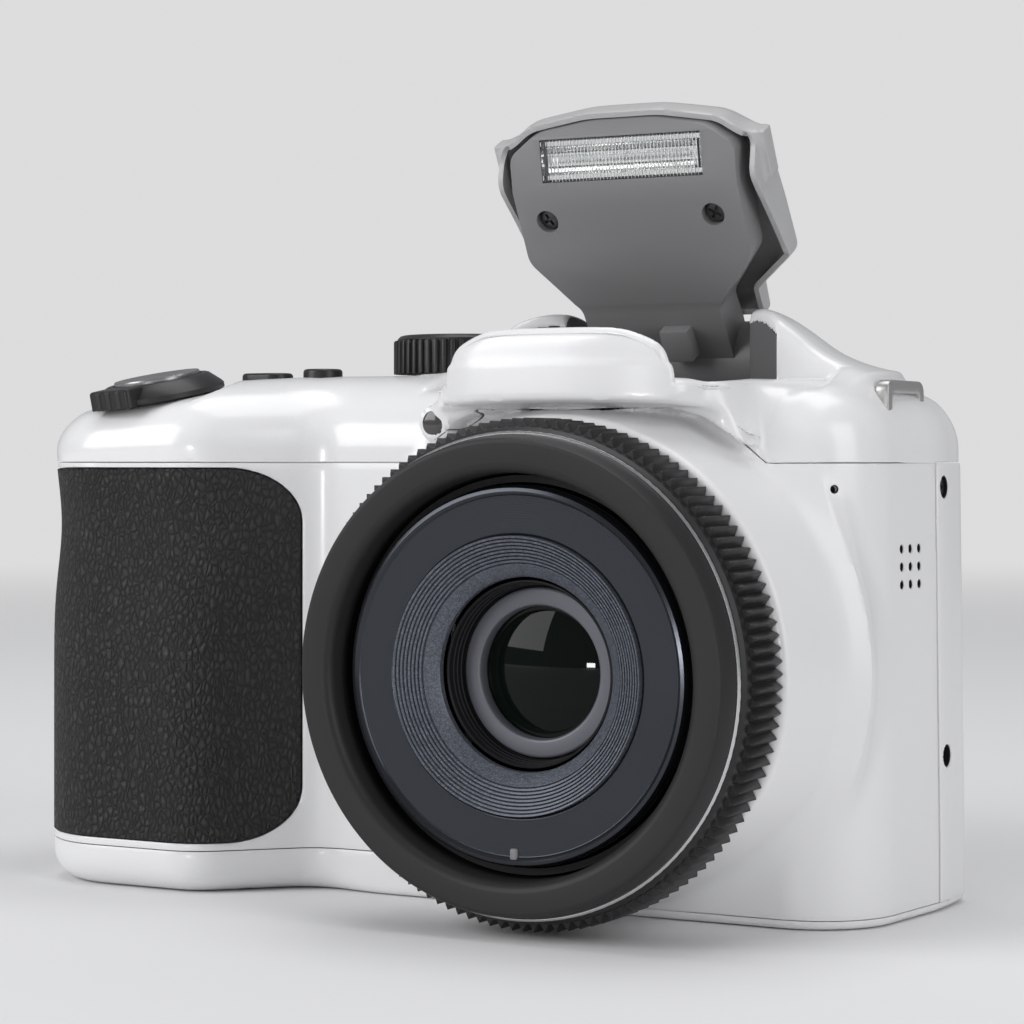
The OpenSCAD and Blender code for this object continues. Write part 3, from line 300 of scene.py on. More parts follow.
@dataclass(frozen=True)
class Pebbled(Finish):
    """Rubber with a pressed leather grain."""

    pebble: float = 1.5

    def draw(self, graph: Graph) -> None:
        """Draws swollen pebbles between creases, with finer pores; the base colour is painted darker in the creases
        as shade and lighter on the pebble tops as highlight.
        """
        base = graph.place((1.0, 1.0, 0.62))
        warp = graph.node("ShaderNodeTexNoise", {}, {"Vector": base, "Scale": 1 / (1.6 * MM), "Detail": 2.0},
                          out=1)
        push = graph.node("ShaderNodeVectorMath", {"operation": "SCALE"}, {0: warp, "Scale": 0.9 * MM})
        where = graph.node("ShaderNodeVectorMath", {"operation": "ADD"}, {0: base, 1: push})
        cells = graph.node("ShaderNodeTexVoronoi", {"feature": "DISTANCE_TO_EDGE"},
                           {"Vector": where, "Scale": 1 / (self.pebble * MM)})
        small = graph.node("ShaderNodeTexVoronoi", {"feature": "F1"},
                           {"Vector": where, "Scale": 1 / (0.55 * MM)})
        swell = (cells * 2.2).least(1.0) ** 0.8
        pores = graph.noise(0.16, 2.0)
        clouds = graph.noise(20.0, 1.0)
        height = swell + (1 - small) * 0.22 + pores * 0.08
        # Painted shade and highlight: the colour follows the pebbles' relief, darker in the creases and lighter on
        # the tops, with random tone from the clouds on top.
        tone = graph.mix(swell * 0.75 + clouds * 0.25, dim(self.colour, 0.4), dim(self.colour, 1.3))
        graph.shade(Base_Color=tone, Roughness=self.rough + (1 - swell) * 0.18 + (pores - 0.5) * 0.1)
        graph.shade(Specular_IOR_Level=0.32)
        graph.bump(height, 1.0, 0.3)


@dataclass(frozen=True)
class Brushed(Finish):
    """Metal turned on a lathe about the lens axis."""

    pitch: float = 0.35
    metal: float = 0.9
    relief: float = 0.02
    height: float = 30.5

    def draw(self, graph: Graph) -> None:
        """Draws fine rings round the axis with a change of tone between them."""
        where = graph.place(at=(0, 0, self.height))
        rings = graph.node("ShaderNodeTexWave", {"wave_type": "RINGS", "rings_direction": "Y",
                                                 "wave_profile": "SIN"},
                           {"Vector": where, "Scale": 0.314 / (self.pitch * MM), "Distortion": 0.6,
                            "Detail": 2.0, "Detail Scale": 3.0})
        clouds = graph.noise(9.0, 2.0)
        tone = graph.mix(rings * 0.5 + clouds * 0.5, dim(self.colour, 0.86), dim(self.colour, 1.12))
        graph.shade(Base_Color=tone, Metallic=self.metal, Roughness=self.rough + (clouds - 0.5) * 0.08)
        graph.bump(rings, 0.6, self.relief)


@dataclass(frozen=True)
class Speckled(Finish):
    """Metallic paint with flakes."""

    metal: float = 0.35
    flake: float = 0.12

    def draw(self, graph: Graph) -> None:
        """Draws small flakes that differ in tone and tilt."""
        flakes = graph.node("ShaderNodeTexVoronoi", {"feature": "F1"},
                            {"Vector": graph.place(), "Scale": 1 / (self.flake * MM)}, out=1)
        level = graph.node("ShaderNodeSeparateColor", {}, {0: flakes})
        fine = graph.noise(0.2, 2.0)
        tone = graph.mix(level ** 2.0, dim(self.colour, 0.72), dim(self.colour, 1.7))
        graph.shade(Base_Color=tone, Metallic=self.metal, Roughness=self.rough + (level - 0.5) * 0.2,
                    Specular_IOR_Level=0.3)
        graph.bump(fine, 0.25, 0.01)


@dataclass(frozen=True)
class Clear(Finish):
    """Clear plastic or glass."""

    bend: float = 1.49
    passes: float = 1.0
    clear: float = 0.0

    def draw(self, graph: Graph) -> None:
        """Draws a clear body with faint smears in its gloss."""
        smears = graph.noise(6.0, 3.0)
        graph.shade(Base_Color=self.colour, Roughness=self.rough + smears * 0.03, IOR=self.bend)
        graph.shade(Transmission_Weight=self.passes, Coat_Weight=self.clear, Coat_Roughness=0.02)


@dataclass(frozen=True)
class Board(Finish):
    """Circuit board with tracks."""

    def draw(self, graph: Graph) -> None:
        """Draws a grid of tracks and pads under the varnish."""
        where = graph.place()
        bricks = graph.node("ShaderNodeTexBrick", {"offset": 0.3},
                            {"Vector": where, "Scale": 1 / (9 * MM), "Mortar Size": 0.03,
                            "Color1": (*self.colour, 1), "Color2": (*dim(self.colour, 0.8), 1),
                            "Mortar": (*dim(self.colour, 2.2), 1)})
        fine = graph.noise(1.2, 2.0)
        graph.shade(Base_Color=bricks, Roughness=self.rough + (fine - 0.5) * 0.2, Coat_Weight=0.3)
        graph.bump(fine, 0.2, 0.02)


WHITE_SHELL = Moulded("white_shell", (0.80, 0.80, 0.81), 0.34, clear=0.18, spread=0.006, relief=0.003)
WHITE_COVER = Moulded("white_cover", (0.81, 0.81, 0.82), 0.24, clear=0.35, spread=0.006, relief=0.002)
GRIP = Pebbled("grip_rubber", (0.027, 0.0255, 0.025), 0.46, pebble=0.75)
GREY_SATIN = Moulded("grey_satin", (0.205, 0.205, 0.208), 0.44, grain=0.18, relief=0.012, spread=0.03,
                     clear=0.0, shine=0.35)
BAY_GREY = Moulded("bay_grey", (0.13, 0.13, 0.133), 0.5, grain=0.18, relief=0.01, spread=0.03, clear=0.0,
                   shine=0.3)
PEARL_GREY = Moulded("pearl_grey", (0.45, 0.45, 0.452), 0.36, grain=0.2, relief=0.006, clear=0.1, spread=0.02,
                     shine=0.4)
DARK_SATIN = Moulded("dark_satin", (0.020, 0.020, 0.0205), 0.38, grain=0.16, relief=0.012, clear=0.05,
                     spread=0.05, shine=0.35)
RING_SATIN = Moulded("ring_satin", (0.021, 0.021, 0.0215), 0.46, grain=0.14, relief=0.012, clear=0.0,
                     spread=0.05, shine=0.25)
BLACK_GRIP = Moulded("black_knurl", (0.016, 0.016, 0.016), 0.42, grain=0.2, relief=0.015, clear=0.0,
                     spread=0.1, shine=0.35)
INNER_BLACK = Moulded("inner_black", (0.010, 0.010, 0.011), 0.5, grain=0.3, relief=0.01, clear=0.0,
                      spread=0.1, shine=0.25)
BARREL = Brushed("barrel_blue", (0.040, 0.044, 0.052), 0.2, pitch=0.3, metal=0.75, relief=0.0015)
BAFFLE = Speckled("baffle_grey", (0.105, 0.115, 0.138), 0.42)
RETAINER = Moulded("retainer_grey", (0.135, 0.14, 0.16), 0.4, grain=0.1, relief=0.004, clear=0.0, spread=0.04,
                   metal=0.3, shine=0.3)
BRIGHT = Brushed("bright_metal", (0.62, 0.62, 0.63), 0.22, pitch=0.2, metal=1.0, relief=0.004)
LUG = Moulded("lug_metal", (0.46, 0.46, 0.45), 0.34, grain=0.2, relief=0.008, clear=0.0, spread=0.05,
              metal=0.7)
STEEL = Moulded("screw_steel", (0.07, 0.07, 0.073), 0.36, grain=0.12, relief=0.01, spread=0.06, metal=0.6)
MIRROR = Moulded("mirror_foil", (0.88, 0.88, 0.87), 0.14, grain=0.6, relief=0.02, clear=0.0, spread=0.02,
                 metal=1.0)
DISH = Brushed("button_dish", (0.34, 0.34, 0.345), 0.26, pitch=0.15, metal=0.8, relief=0.004, height=0.0)
LAMP_GLASS = Clear("lamp_dark", (0.060, 0.056, 0.056), 0.12, passes=0.0, clear=0.3)
KEY_RED = Clear("key_red", (0.30, 0.03, 0.03), 0.2, passes=0.0, clear=0.3)
CLEAR = Clear("clear_window", (0.97, 0.98, 0.98), 0.03)
# Front glass: opaque and near-black, so the glass carries the darkness of the lens's inside, which is the black
# inner parts plus painted shade.
GLASS = Clear("front_glass", (0.003, 0.005, 0.004), 0.01, bend=1.24, passes=0.0, clear=0.0)
LENS_CLEAR = Clear("inner_glass", (0.80, 0.88, 0.86), 0.02, bend=1.6)
SCREEN = Clear("screen_black", (0.010, 0.010, 0.012), 0.06, passes=0.0, clear=0.8)
BOARD = Board("board_green", (0.02, 0.11, 0.05), 0.4)
PALE_BATTERY = Moulded("battery_sleeve", (0.16, 0.17, 0.20), 0.4, spread=0.06)


def deselect() -> None:
    """Leaves nothing selected, in object mode."""
    if bpy.context.object and bpy.context.object.mode != "OBJECT":
        bpy.ops.object.mode_set(mode="OBJECT")
    bpy.ops.object.select_all(action="DESELECT")


def focus(obj: bpy.types.Object) -> None:
    """Makes one object the only selected and the active one."""
    deselect()
    obj.select_set(True)
    bpy.context.view_layer.objects.active = obj


def edit(obj: bpy.types.Object) -> None:
    """Opens an object in edit mode with all of it selected."""
    focus(obj)
    bpy.ops.object.mode_set(mode="EDIT")
    bpy.ops.mesh.select_all(action="SELECT")


def close(obj: bpy.types.Object, weld: float = 0.002) -> bpy.types.Object:
    """Merges doubles, turns the faces outwards and leaves edit mode.

    Args:
        obj: the object in edit mode.
        weld: merging distance in millimetres.

    Returns:
        The same object.
    """
    bpy.ops.mesh.select_all(action="SELECT")
    bpy.ops.mesh.remove_doubles(threshold=weld)
    bpy.ops.mesh.normals_make_consistent(inside=False)
    bpy.ops.object.mode_set(mode="OBJECT")
    return obj


def turned(profile: Sequence[Pair], sides: int = 128) -> bpy.types.Object:
    """Turns a piece about Z from a circle, by extruding and resizing it ring by ring.

    Args:
        profile: radius and height of each ring; a closed wall repeats its first.
        sides: facets round it.

    Returns:
        The piece, in millimetres about the origin.
    """
    tiny = 1e-3
    rings = [(max(r, tiny), h) for r, h in profile]
    deselect()
    bpy.ops.mesh.primitive_circle_add(vertices=sides, radius=rings[0][0])
    obj = bpy.context.object
    edit(obj)
    bpy.ops.transform.translate(value=(0, 0, rings[0][1]))
    for (r0, h0), (r1, h1) in zip(rings, rings[1:]):
        bpy.ops.mesh.extrude_region_move(TRANSFORM_OT_translate={"value": (0, 0, h1 - h0)})
        bpy.ops.transform.resize(value=(r1 / r0, r1 / r0, 1), center_override=(0, 0, h1))
    return close(obj, 0.004)


def slab(outline: Sequence[Pair], low: float, high: float, edge: float = 0.0,
         steps: int = 3) -> bpy.types.Object:
    """Extrudes an outline upwards and rounds its upper edge.

    Args:
        outline: corners of the outline, anticlockwise.
        low: height of the lower face.
        high: height of the upper face.
        edge: radius of the upper edge.
        steps: facets of that edge.

    Returns:
        The slab, in millimetres.
    """
    deselect()
    bpy.ops.mesh.primitive_circle_add(vertices=len(outline), radius=1, fill_type="NGON")
    obj = bpy.context.object
    for corner, (x, y) in zip(obj.data.vertices, outline):
        corner.co = (x, y, low)
    edit(obj)
    bpy.ops.mesh.extrude_region_move(TRANSFORM_OT_translate={"value": (0, 0, high - low)})
    if edge:
        bpy.ops.mesh.bevel(offset=edge, segments=steps, affect="EDGES")
    return close(obj)


def block(low: Sequence[float], high: Sequence[float], edge: float = 0.0, steps: int = 3) -> bpy.types.Object:
    """Makes a block with rounded edges.

    Args:
        low: lowest corner.
        high: highest corner.
        edge: radius of its edges.
        steps: facets of each edge.

    Returns:
        The block, in millimetres.
    """
    deselect()
    middle = [(a + b) / 2 for a, b in zip(low, high)]
    bpy.ops.mesh.primitive_cube_add(size=1)
    obj = bpy.context.object
    edit(obj)
    bpy.ops.transform.resize(value=[b - a for a, b in zip(low, high)], center_override=(0, 0, 0))
    bpy.ops.transform.translate(value=middle)
    if edge:
        bpy.ops.mesh.bevel(offset=edge, segments=steps, affect="EDGES")
    return close(obj)


def put(obj: bpy.types.Object, matrix: Matrix) -> bpy.types.Object:
    """Moves an object's mesh and gives the object back."""
    obj.data.transform(matrix)
    return obj


def combine(obj: bpy.types.Object, others: Iterable[bpy.types.Object], how: str) -> bpy.types.Object:
    """Joins, cuts or intersects an object with others, which are used up.

    Args:
        obj: the object that stays.
        others: the tools.
        how: UNION, DIFFERENCE or INTERSECT.

    Returns:
        The same object.
    """
    for other in others:
        step = obj.modifiers.new("shape", "BOOLEAN")
        step.operation = how
        step.solver = "EXACT"
        step.object = other
        focus(obj)
        bpy.ops.object.modifier_apply(modifier=step.name)
        bpy.data.objects.remove(other)
    return obj


def soften(obj: bpy.types.Object, width: float, steps: int = 2, angle: float = 35) -> bpy.types.Object:
    """Rounds the sharp edges of an object.

    Args:
        obj: the object.
        width: width of the rounding in millimetres.
        steps: its facets.
        angle: least angle of an edge that is rounded, in degrees.

    Returns:
        The same object.
    """
    step = obj.modifiers.new("edges", "BEVEL")
    step.width = width
    step.segments = steps
    step.limit_method = "ANGLE"
    step.angle_limit = math.radians(angle)
    focus(obj)
    bpy.ops.object.modifier_apply(modifier=step.name)
    return obj


def gathered(objs: Sequence[bpy.types.Object]) -> bpy.types.Object:
    """Joins objects into the first of them and gives it back."""
    focus(objs[0])
    for obj in objs[1:]:
        obj.select_set(True)
    if len(objs) > 1:
        bpy.ops.object.join()
    return bpy.context.object


def seat(obj: bpy.types.Object, name: str, body: str, finish: Finish, *nodes: str, slot: str = "",
         angle: float = 32) -> bpy.types.Object:
    """Finishes a piece: its name, scale, shading, material and the body that it rides.

    Args:
        obj: the piece, in millimetres.
        name: its name.
        body: CAD body that carries it.
        finish: its finish.
        nodes: CAD nodes that it stands for.
        slot: not used.
        angle: edges sharper than this stay sharp, in degrees.

    Returns:
        The piece.
    """
    obj.name = name
    obj.data.name = name
    obj.data.transform(Matrix.Scale(MM, 4))
    obj.data.materials.clear()
    obj.data.materials.append(finish.material())
    focus(obj)
    bpy.ops.object.shade_smooth_by_angle(angle=math.radians(angle))
    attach(obj, body)
    if nodes:
        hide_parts(*nodes)
    deselect()
    LOG.info("%s: %d faces on %s", name, len(obj.data.polygons), body)
    return obj


def rounded(corners: Sequence[tuple[float, float, float]], steps: int = 12) -> list[Pair]:
    """Gives a closed outline through corners that are rounded.

    Args:
        corners: x, y and radius of each.
        steps: facets of each corner.

    Returns:
        Points of the outline.
    """
    points: list[Pair] = []
    for i, (x, y, r) in enumerate(corners):
        here = np.array((x, y))
        before, after = np.array(corners[i - 1][:2]), np.array(corners[(i + 1) % len(corners)][:2])
        u = (before - here) / np.linalg.norm(before - here)
        w = (after - here) / np.linalg.norm(after - here)
        half = math.acos(float(np.clip(u @ w, -1, 1))) / 2
        middle = here + (u + w) / np.linalg.norm(u + w) * r / math.sin(half)
        start, end = here + u * r / math.tan(half) - middle, here + w * r / math.tan(half) - middle
        a, b = math.atan2(start[1], start[0]), math.atan2(end[1], end[0])
        sweep = (b - a + math.pi) % (2 * math.pi) - math.pi
        for k in range(steps + 1):
            turn = a + sweep * k / steps
            points.append((float(middle[0] + r * math.cos(turn)), float(middle[1] + r * math.sin(turn))))
    return points


def box_outline(w: float, h: float, r: float, at: Pair = (0, 0), steps: int = 6) -> list[Pair]:
    """Gives a rectangle with rounded corners about a point."""
    x, y = at
    return rounded([(x + w / 2, y + h / 2, r), (x - w / 2, y + h / 2, r), (x - w / 2, y - h / 2, r),
                    (x + w / 2, y - h / 2, r)], steps)


def soft_least(a: np.ndarray, b: np.ndarray, reach: float) -> np.ndarray:
    """Smaller of two fields with a fillet of about the given reach."""
    h = np.maximum(reach - np.abs(a - b), 0) / reach
    return np.minimum(a, b) - h * h * reach / 4


def soft_most(a: np.ndarray, b: np.ndarray, reach: float) -> np.ndarray:
    """Larger of two fields with a rounded edge of about the given reach."""
    return -soft_least(-a, -b, reach)


def ease(low: float, high: float, x: np.ndarray) -> np.ndarray:
    """Smooth step from 0 at low to 1 at high."""
    t = np.clip((x - low) / (high - low), 0, 1)
    return t * t * (3 - 2 * t)


class Outline:
    """Depth of points inside a closed outline, kept on a fine grid."""

    def __init__(self, points: Sequence[Pair], margin: float = 5.0, pitch: float = 0.25,
                 soften_from: float = 1e9) -> None:
        """Samples the outline.

        Args:
            points: the outline.
            margin: room kept round it.
            pitch: pitch of the grid.
            soften_from: depth from which the depth is smoothed.
        """
        p = np.array(points)
        self.low = p.min(0) - margin
        self.pitch = pitch
        size = np.ceil((p.max(0) + margin - self.low) / pitch).astype(int) + 1
        x, y = np.meshgrid(self.low[0] + pitch * np.arange(size[0]), self.low[1] + pitch * np.arange(size[1]),
                           indexing="ij")
        depth = np.full(x.shape, 1e9)
        inside = np.zeros(x.shape, bool)
        for a, b in zip(p, np.roll(p, -1, 0)):
            e = b - a
            if e @ e < 1e-12:
                continue
            t = np.clip(((x - a[0]) * e[0] + (y - a[1]) * e[1]) / (e @ e), 0, 1)
            depth = np.minimum(depth, np.hypot(x - a[0] - t * e[0], y - a[1] - t * e[1]))
            if a[1] != b[1]:
                cross = (a[1] > y) != (b[1] > y)
                inside ^= cross & (x < (b[0] - a[0]) * (y - a[1]) / (b[1] - a[1]) + a[0])
        depth = np.where(inside, depth, -depth)
        if soften_from < 1e8:
            smooth = self._blur(depth, 2.2)
            share = ease(soften_from, soften_from + 4, depth)
            depth = depth * (1 - share) + smooth * share
        self.grid = depth

    def _blur(self, grid: np.ndarray, sigma: float) -> np.ndarray:
        """Smooths a grid over a distance in millimetres."""
        n = int(3 * sigma / self.pitch)
        weights = np.exp(-0.5 * (np.arange(-n, n + 1) * self.pitch / sigma) ** 2)
        weights /= weights.sum()
        for axis in (0, 1):
            padded = np.pad(grid, [(n, n) if a == axis else (0, 0) for a in (0, 1)], mode="edge")
            grid = np.apply_along_axis(lambda row: np.convolve(row, weights, "valid"), axis, padded)
        return grid

    def depth(self, x: np.ndarray, y: np.ndarray) -> np.ndarray:
        """Gives the depth of points, negative outside.

        Args:
            x: their x.
            y: their y.

        Returns:
            Their depths.
        """
        u = np.clip((x - self.low[0]) / self.pitch, 0, self.grid.shape[0] - 1.001)
        v = np.clip((y - self.low[1]) / self.pitch, 0, self.grid.shape[1] - 1.001)
        i, j = u.astype(int), v.astype(int)
        a, b = u - i, v - j
        g = self.grid
        return (g[i, j] * (1 - a) + g[i + 1, j] * a) * (1 - b) + (g[i, j + 1] * (1 - a) + g[i + 1, j + 1] * a) * b


@dataclass
class Skin:
    """A triangle mesh on a smooth field, which can be clipped by other fields."""

    points: np.ndarray
    faces: np.ndarray
    shape: Field

    @classmethod
    def grown(cls, shape: Field, low: Sequence[float], high: Sequence[float], pitch: float) -> "Skin":
        """Meshes the zero surface of a field.

        Args:
            shape: the field, negative inside.
            low: lowest corner of the grid.
            high: highest corner of the grid.
            pitch: pitch of the grid.

        Returns:
            The closed mesh.
        """
        axes = [np.arange(a, b + pitch, pitch) for a, b in zip(low, high)]
        levels = np.empty([len(a) for a in axes])
        plane = np.stack(np.meshgrid(axes[1], axes[2], indexing="ij"), -1).reshape(-1, 2)
        for i in range(0, len(axes[0]), 8):
            part = axes[0][i:i + 8]
            p = np.concatenate([np.repeat(part, len(plane))[:, None], np.tile(plane, (len(part), 1))], 1)
            levels[i:i + len(part)] = shape(p).reshape(len(part), len(axes[1]), len(axes[2]))
        inside = levels < 0
        n = np.array(levels.shape) - 1
        corners = np.array([(i, j, k) for i in (0, 1) for j in (0, 1) for k in (0, 1)])
        count = sum(inside[i:i + n[0], j:j + n[1], k:k + n[2]].astype(np.int8) for i, j, k in corners)
        cells = np.argwhere((count > 0) & (count < 8))
        index = np.full(n, -1)
        index[tuple(cells.T)] = np.arange(len(cells))
        total, hits = np.zeros((len(cells), 3)), np.zeros(len(cells))
        for a in corners:
            for b in corners:
                if (b - a).sum() != 1 or (b < a).any():
                    continue
                fa, fb = levels[tuple((cells + a).T)], levels[tuple((cells + b).T)]
                cross = (fa < 0) != (fb < 0)
                t = np.where(cross, fa / np.where(cross, fa - fb, 1), 0)
                total += np.where(cross[:, None], a + t[:, None] * (b - a), 0)
                hits += cross
        points = np.array([a[0] for a in axes]) + pitch * (cells + total / hits[:, None])
        quads = []
        rounds = {0: ((0, -1, -1), (0, 0, -1), (0, 0, 0), (0, -1, 0)),
                  1: ((-1, 0, -1), (-1, 0, 0), (0, 0, 0), (0, 0, -1)),
                  2: ((-1, -1, 0), (0, -1, 0), (0, 0, 0), (-1, 0, 0))}
        for axis, ring in rounds.items():
            first = np.take(inside, range(n[axis]), axis)
            change = first != np.take(inside, range(1, n[axis] + 1), axis)
            at = np.argwhere(change)
            others = [a for a in range(3) if a != axis]
            at = at[((at[:, others] > 0) & (at[:, others] < n[others])).all(1)]
            quad = np.stack([index[tuple((at + np.array(r)).T)] for r in ring], 1)
            turn = ~first[tuple(at.T)]
            quad[turn] = quad[turn][:, ::-1]
            quads.append(quad)
        quads = np.concatenate(quads)
        made = cls(points, np.concatenate([quads[:, [0, 1, 2]], quads[:, [0, 2, 3]]]), shape)
        made._settle(quads, pitch)
        return made

    def normals(self, points: np.ndarray) -> np.ndarray:
        """Gives the field's slope at points."""
        h = 0.03
        return np.stack([(self.shape(points + h * e) - self.shape(points - h * e)) / (2 * h) for e in np.eye(3)], 1)

    def _settle(self, quads: np.ndarray, pitch: float) -> None:
        """Evens out the points and draws them onto the surface."""
        edges = np.concatenate([quads[:, [i, (i + 1) % 4]] for i in range(4)])
        for turn in range(4):
            for _ in range(2 if turn else 3):
                slope = self.normals(self.points)
                size = np.maximum((slope ** 2).sum(1), 0.05)
                step = (self.shape(self.points) / size)[:, None] * slope
                length = np.maximum(np.linalg.norm(step, axis=1), 1e-9)
                self.points -= step * np.minimum(1, 0.4 * pitch / length)[:, None]
            if turn < 3:
                total, count = np.zeros_like(self.points), np.zeros(len(self.points))
                for a, b in ((0, 1), (1, 0)):
                    for c in range(3):
                        total[:, c] += np.bincount(edges[:, a], self.points[edges[:, b], c], len(self.points))
                    count += np.bincount(edges[:, a], minlength=len(self.points))
                self.points = 0.5 * self.points + 0.5 * total / count[:, None]

    def clipped(self, keep: Field, snap: float = 0.03) -> "Skin":
        """Gives the part of the mesh where a field is positive.

        Args:
            keep: the field.
            snap: points nearer than this to its edge count as on it.

        Returns:
            The clipped mesh.
        """
        level = keep(self.points)
        level = np.where(np.abs(level) < snap, 0, level)
        sign = np.sign(level).astype(int)
        has_in, has_out = (sign[self.faces] > 0).any(1), (sign[self.faces] < 0).any(1)
        faces = list(map(tuple, self.faces[has_in & ~has_out]))
        points = list(self.points)
        made: dict[tuple[int, int], int] = {}
        for tri in self.faces[has_in & has_out]:
            ring = []
            for a, b in zip(tri, np.roll(tri, -1)):
                if sign[a] >= 0:
                    ring.append(int(a))
                if sign[a] * sign[b] < 0:
                    key = (min(a, b), max(a, b))
                    if key not in made:
                        t = level[a] / (level[a] - level[b])
                        made[key] = len(points)
                        points.append(self.points[a] * (1 - t) + self.points[b] * t)
                    ring.append(made[key])
            faces += [(ring[0], ring[i], ring[i + 1]) for i in range(1, len(ring) - 1)]
        faces = np.array(faces)
        used, back = np.unique(faces, return_inverse=True)
        return Skin(np.array(points)[used], back.reshape(-1, 3), self.shape)

    def refined(self, near: Field, reach: float = 0.8, rounds: int = 2) -> "Skin":
        """Halves the edges of the triangles near the edge of a field.

        Args:
            near: the field.
            reach: distance from its edge that is made finer.
            rounds: number of halvings.

        Returns:
            The finer mesh.
        """
        points, faces = self.points, self.faces
        for turn in range(rounds):
            pick = (np.abs(near(points)) < reach / (1 + turn))[faces].any(1)
            edges = np.sort(np.concatenate([faces[:, [i, (i + 1) % 3]] for i in range(3)]), 1)
            keys, back = np.unique(edges, axis=0, return_inverse=True)
            split = np.zeros(len(keys), bool)
            split[back.reshape(-1)[np.tile(pick, 3)]] = True
            index = np.full(len(keys), -1)
            index[split] = len(points) + np.arange(split.sum())
            middle = points[keys[split]].mean(1)
            for _ in range(2):
                slope = self.normals(middle)
                middle -= (self.shape(middle) / np.maximum((slope ** 2).sum(1), 0.05))[:, None] * slope
            points = np.concatenate([points, middle])
            cut = index[back.reshape(-1)].reshape(3, -1).T
            count = (cut >= 0).sum(1)
            parts = [faces[count == 0]]
            f, e = faces[count == 3], cut[count == 3]
            parts += [np.stack([f[:, i], e[:, i], e[:, i - 1]], 1) for i in range(3)] + [e]
            for i in range(3):
                a, b, c = i, (i + 1) % 3, (i + 2) % 3
                one = (count == 1) & (cut[:, i] >= 0)
                f, e = faces[one], cut[one]
                parts += [np.stack([f[:, a], e[:, i], f[:, c]], 1), np.stack([e[:, i], f[:, b], f[:, c]], 1)]
                two = (count == 2) & (cut[:, i] < 0)
                f, e = faces[two], cut[two]
                parts += [np.stack([f[:, a], f[:, b], e[:, b]], 1), np.stack([f[:, a], e[:, b], e[:, c]], 1),
                          np.stack([e[:, c], e[:, b], f[:, c]], 1)]
            faces = np.concatenate(parts)
        return Skin(points, faces, self.shape)

    def bored(self, hole: Field) -> "Skin":
        """Gives the mesh with a crisp hole where a field is negative."""
        return self.refined(hole).clipped(hole, CRISP)

    def walled(self, wall: float, lift: float = 0.0, dip: float = 0.1) -> bpy.types.Object:
        """Makes a closed wall of the mesh.

        Args:
            wall: thickness of the wall, inwards.
            lift: distance that the outer face is raised.
            dip: depth of the rounding at its rim.

        Returns:
            The object, in millimetres.
        """
        slope = self.normals(self.points)
        slope /= np.maximum(np.linalg.norm(slope, axis=1), 1e-6)[:, None]
        edges = np.concatenate([self.faces[:, [i, (i + 1) % 3]] for i in range(3)])
        known = set(map(tuple, edges))
        rim = np.array([e for e in known if (e[1], e[0]) not in known])
        outer = self.points + lift * slope
        inner = self.points - (wall - lift) * slope
        if len(rim):
            outer[np.unique(rim)] -= dip * slope[np.unique(rim)]
        outer[:, 2], inner[:, 2] = np.maximum(outer[:, 2], 0), np.maximum(inner[:, 2], 0)
        n = len(outer)
        faces = self.faces.tolist() + (self.faces[:, ::-1] + n).tolist()
        faces += [(b, a, a + n, b + n) for a, b in rim.tolist()] if len(rim) else []
        mesh = bpy.data.meshes.new("shell")
        mesh.from_pydata(np.concatenate([outer, inner]).tolist(), [], faces)
        obj = bpy.data.objects.new("shell", mesh)
        bpy.context.collection.objects.link(obj)
        return obj


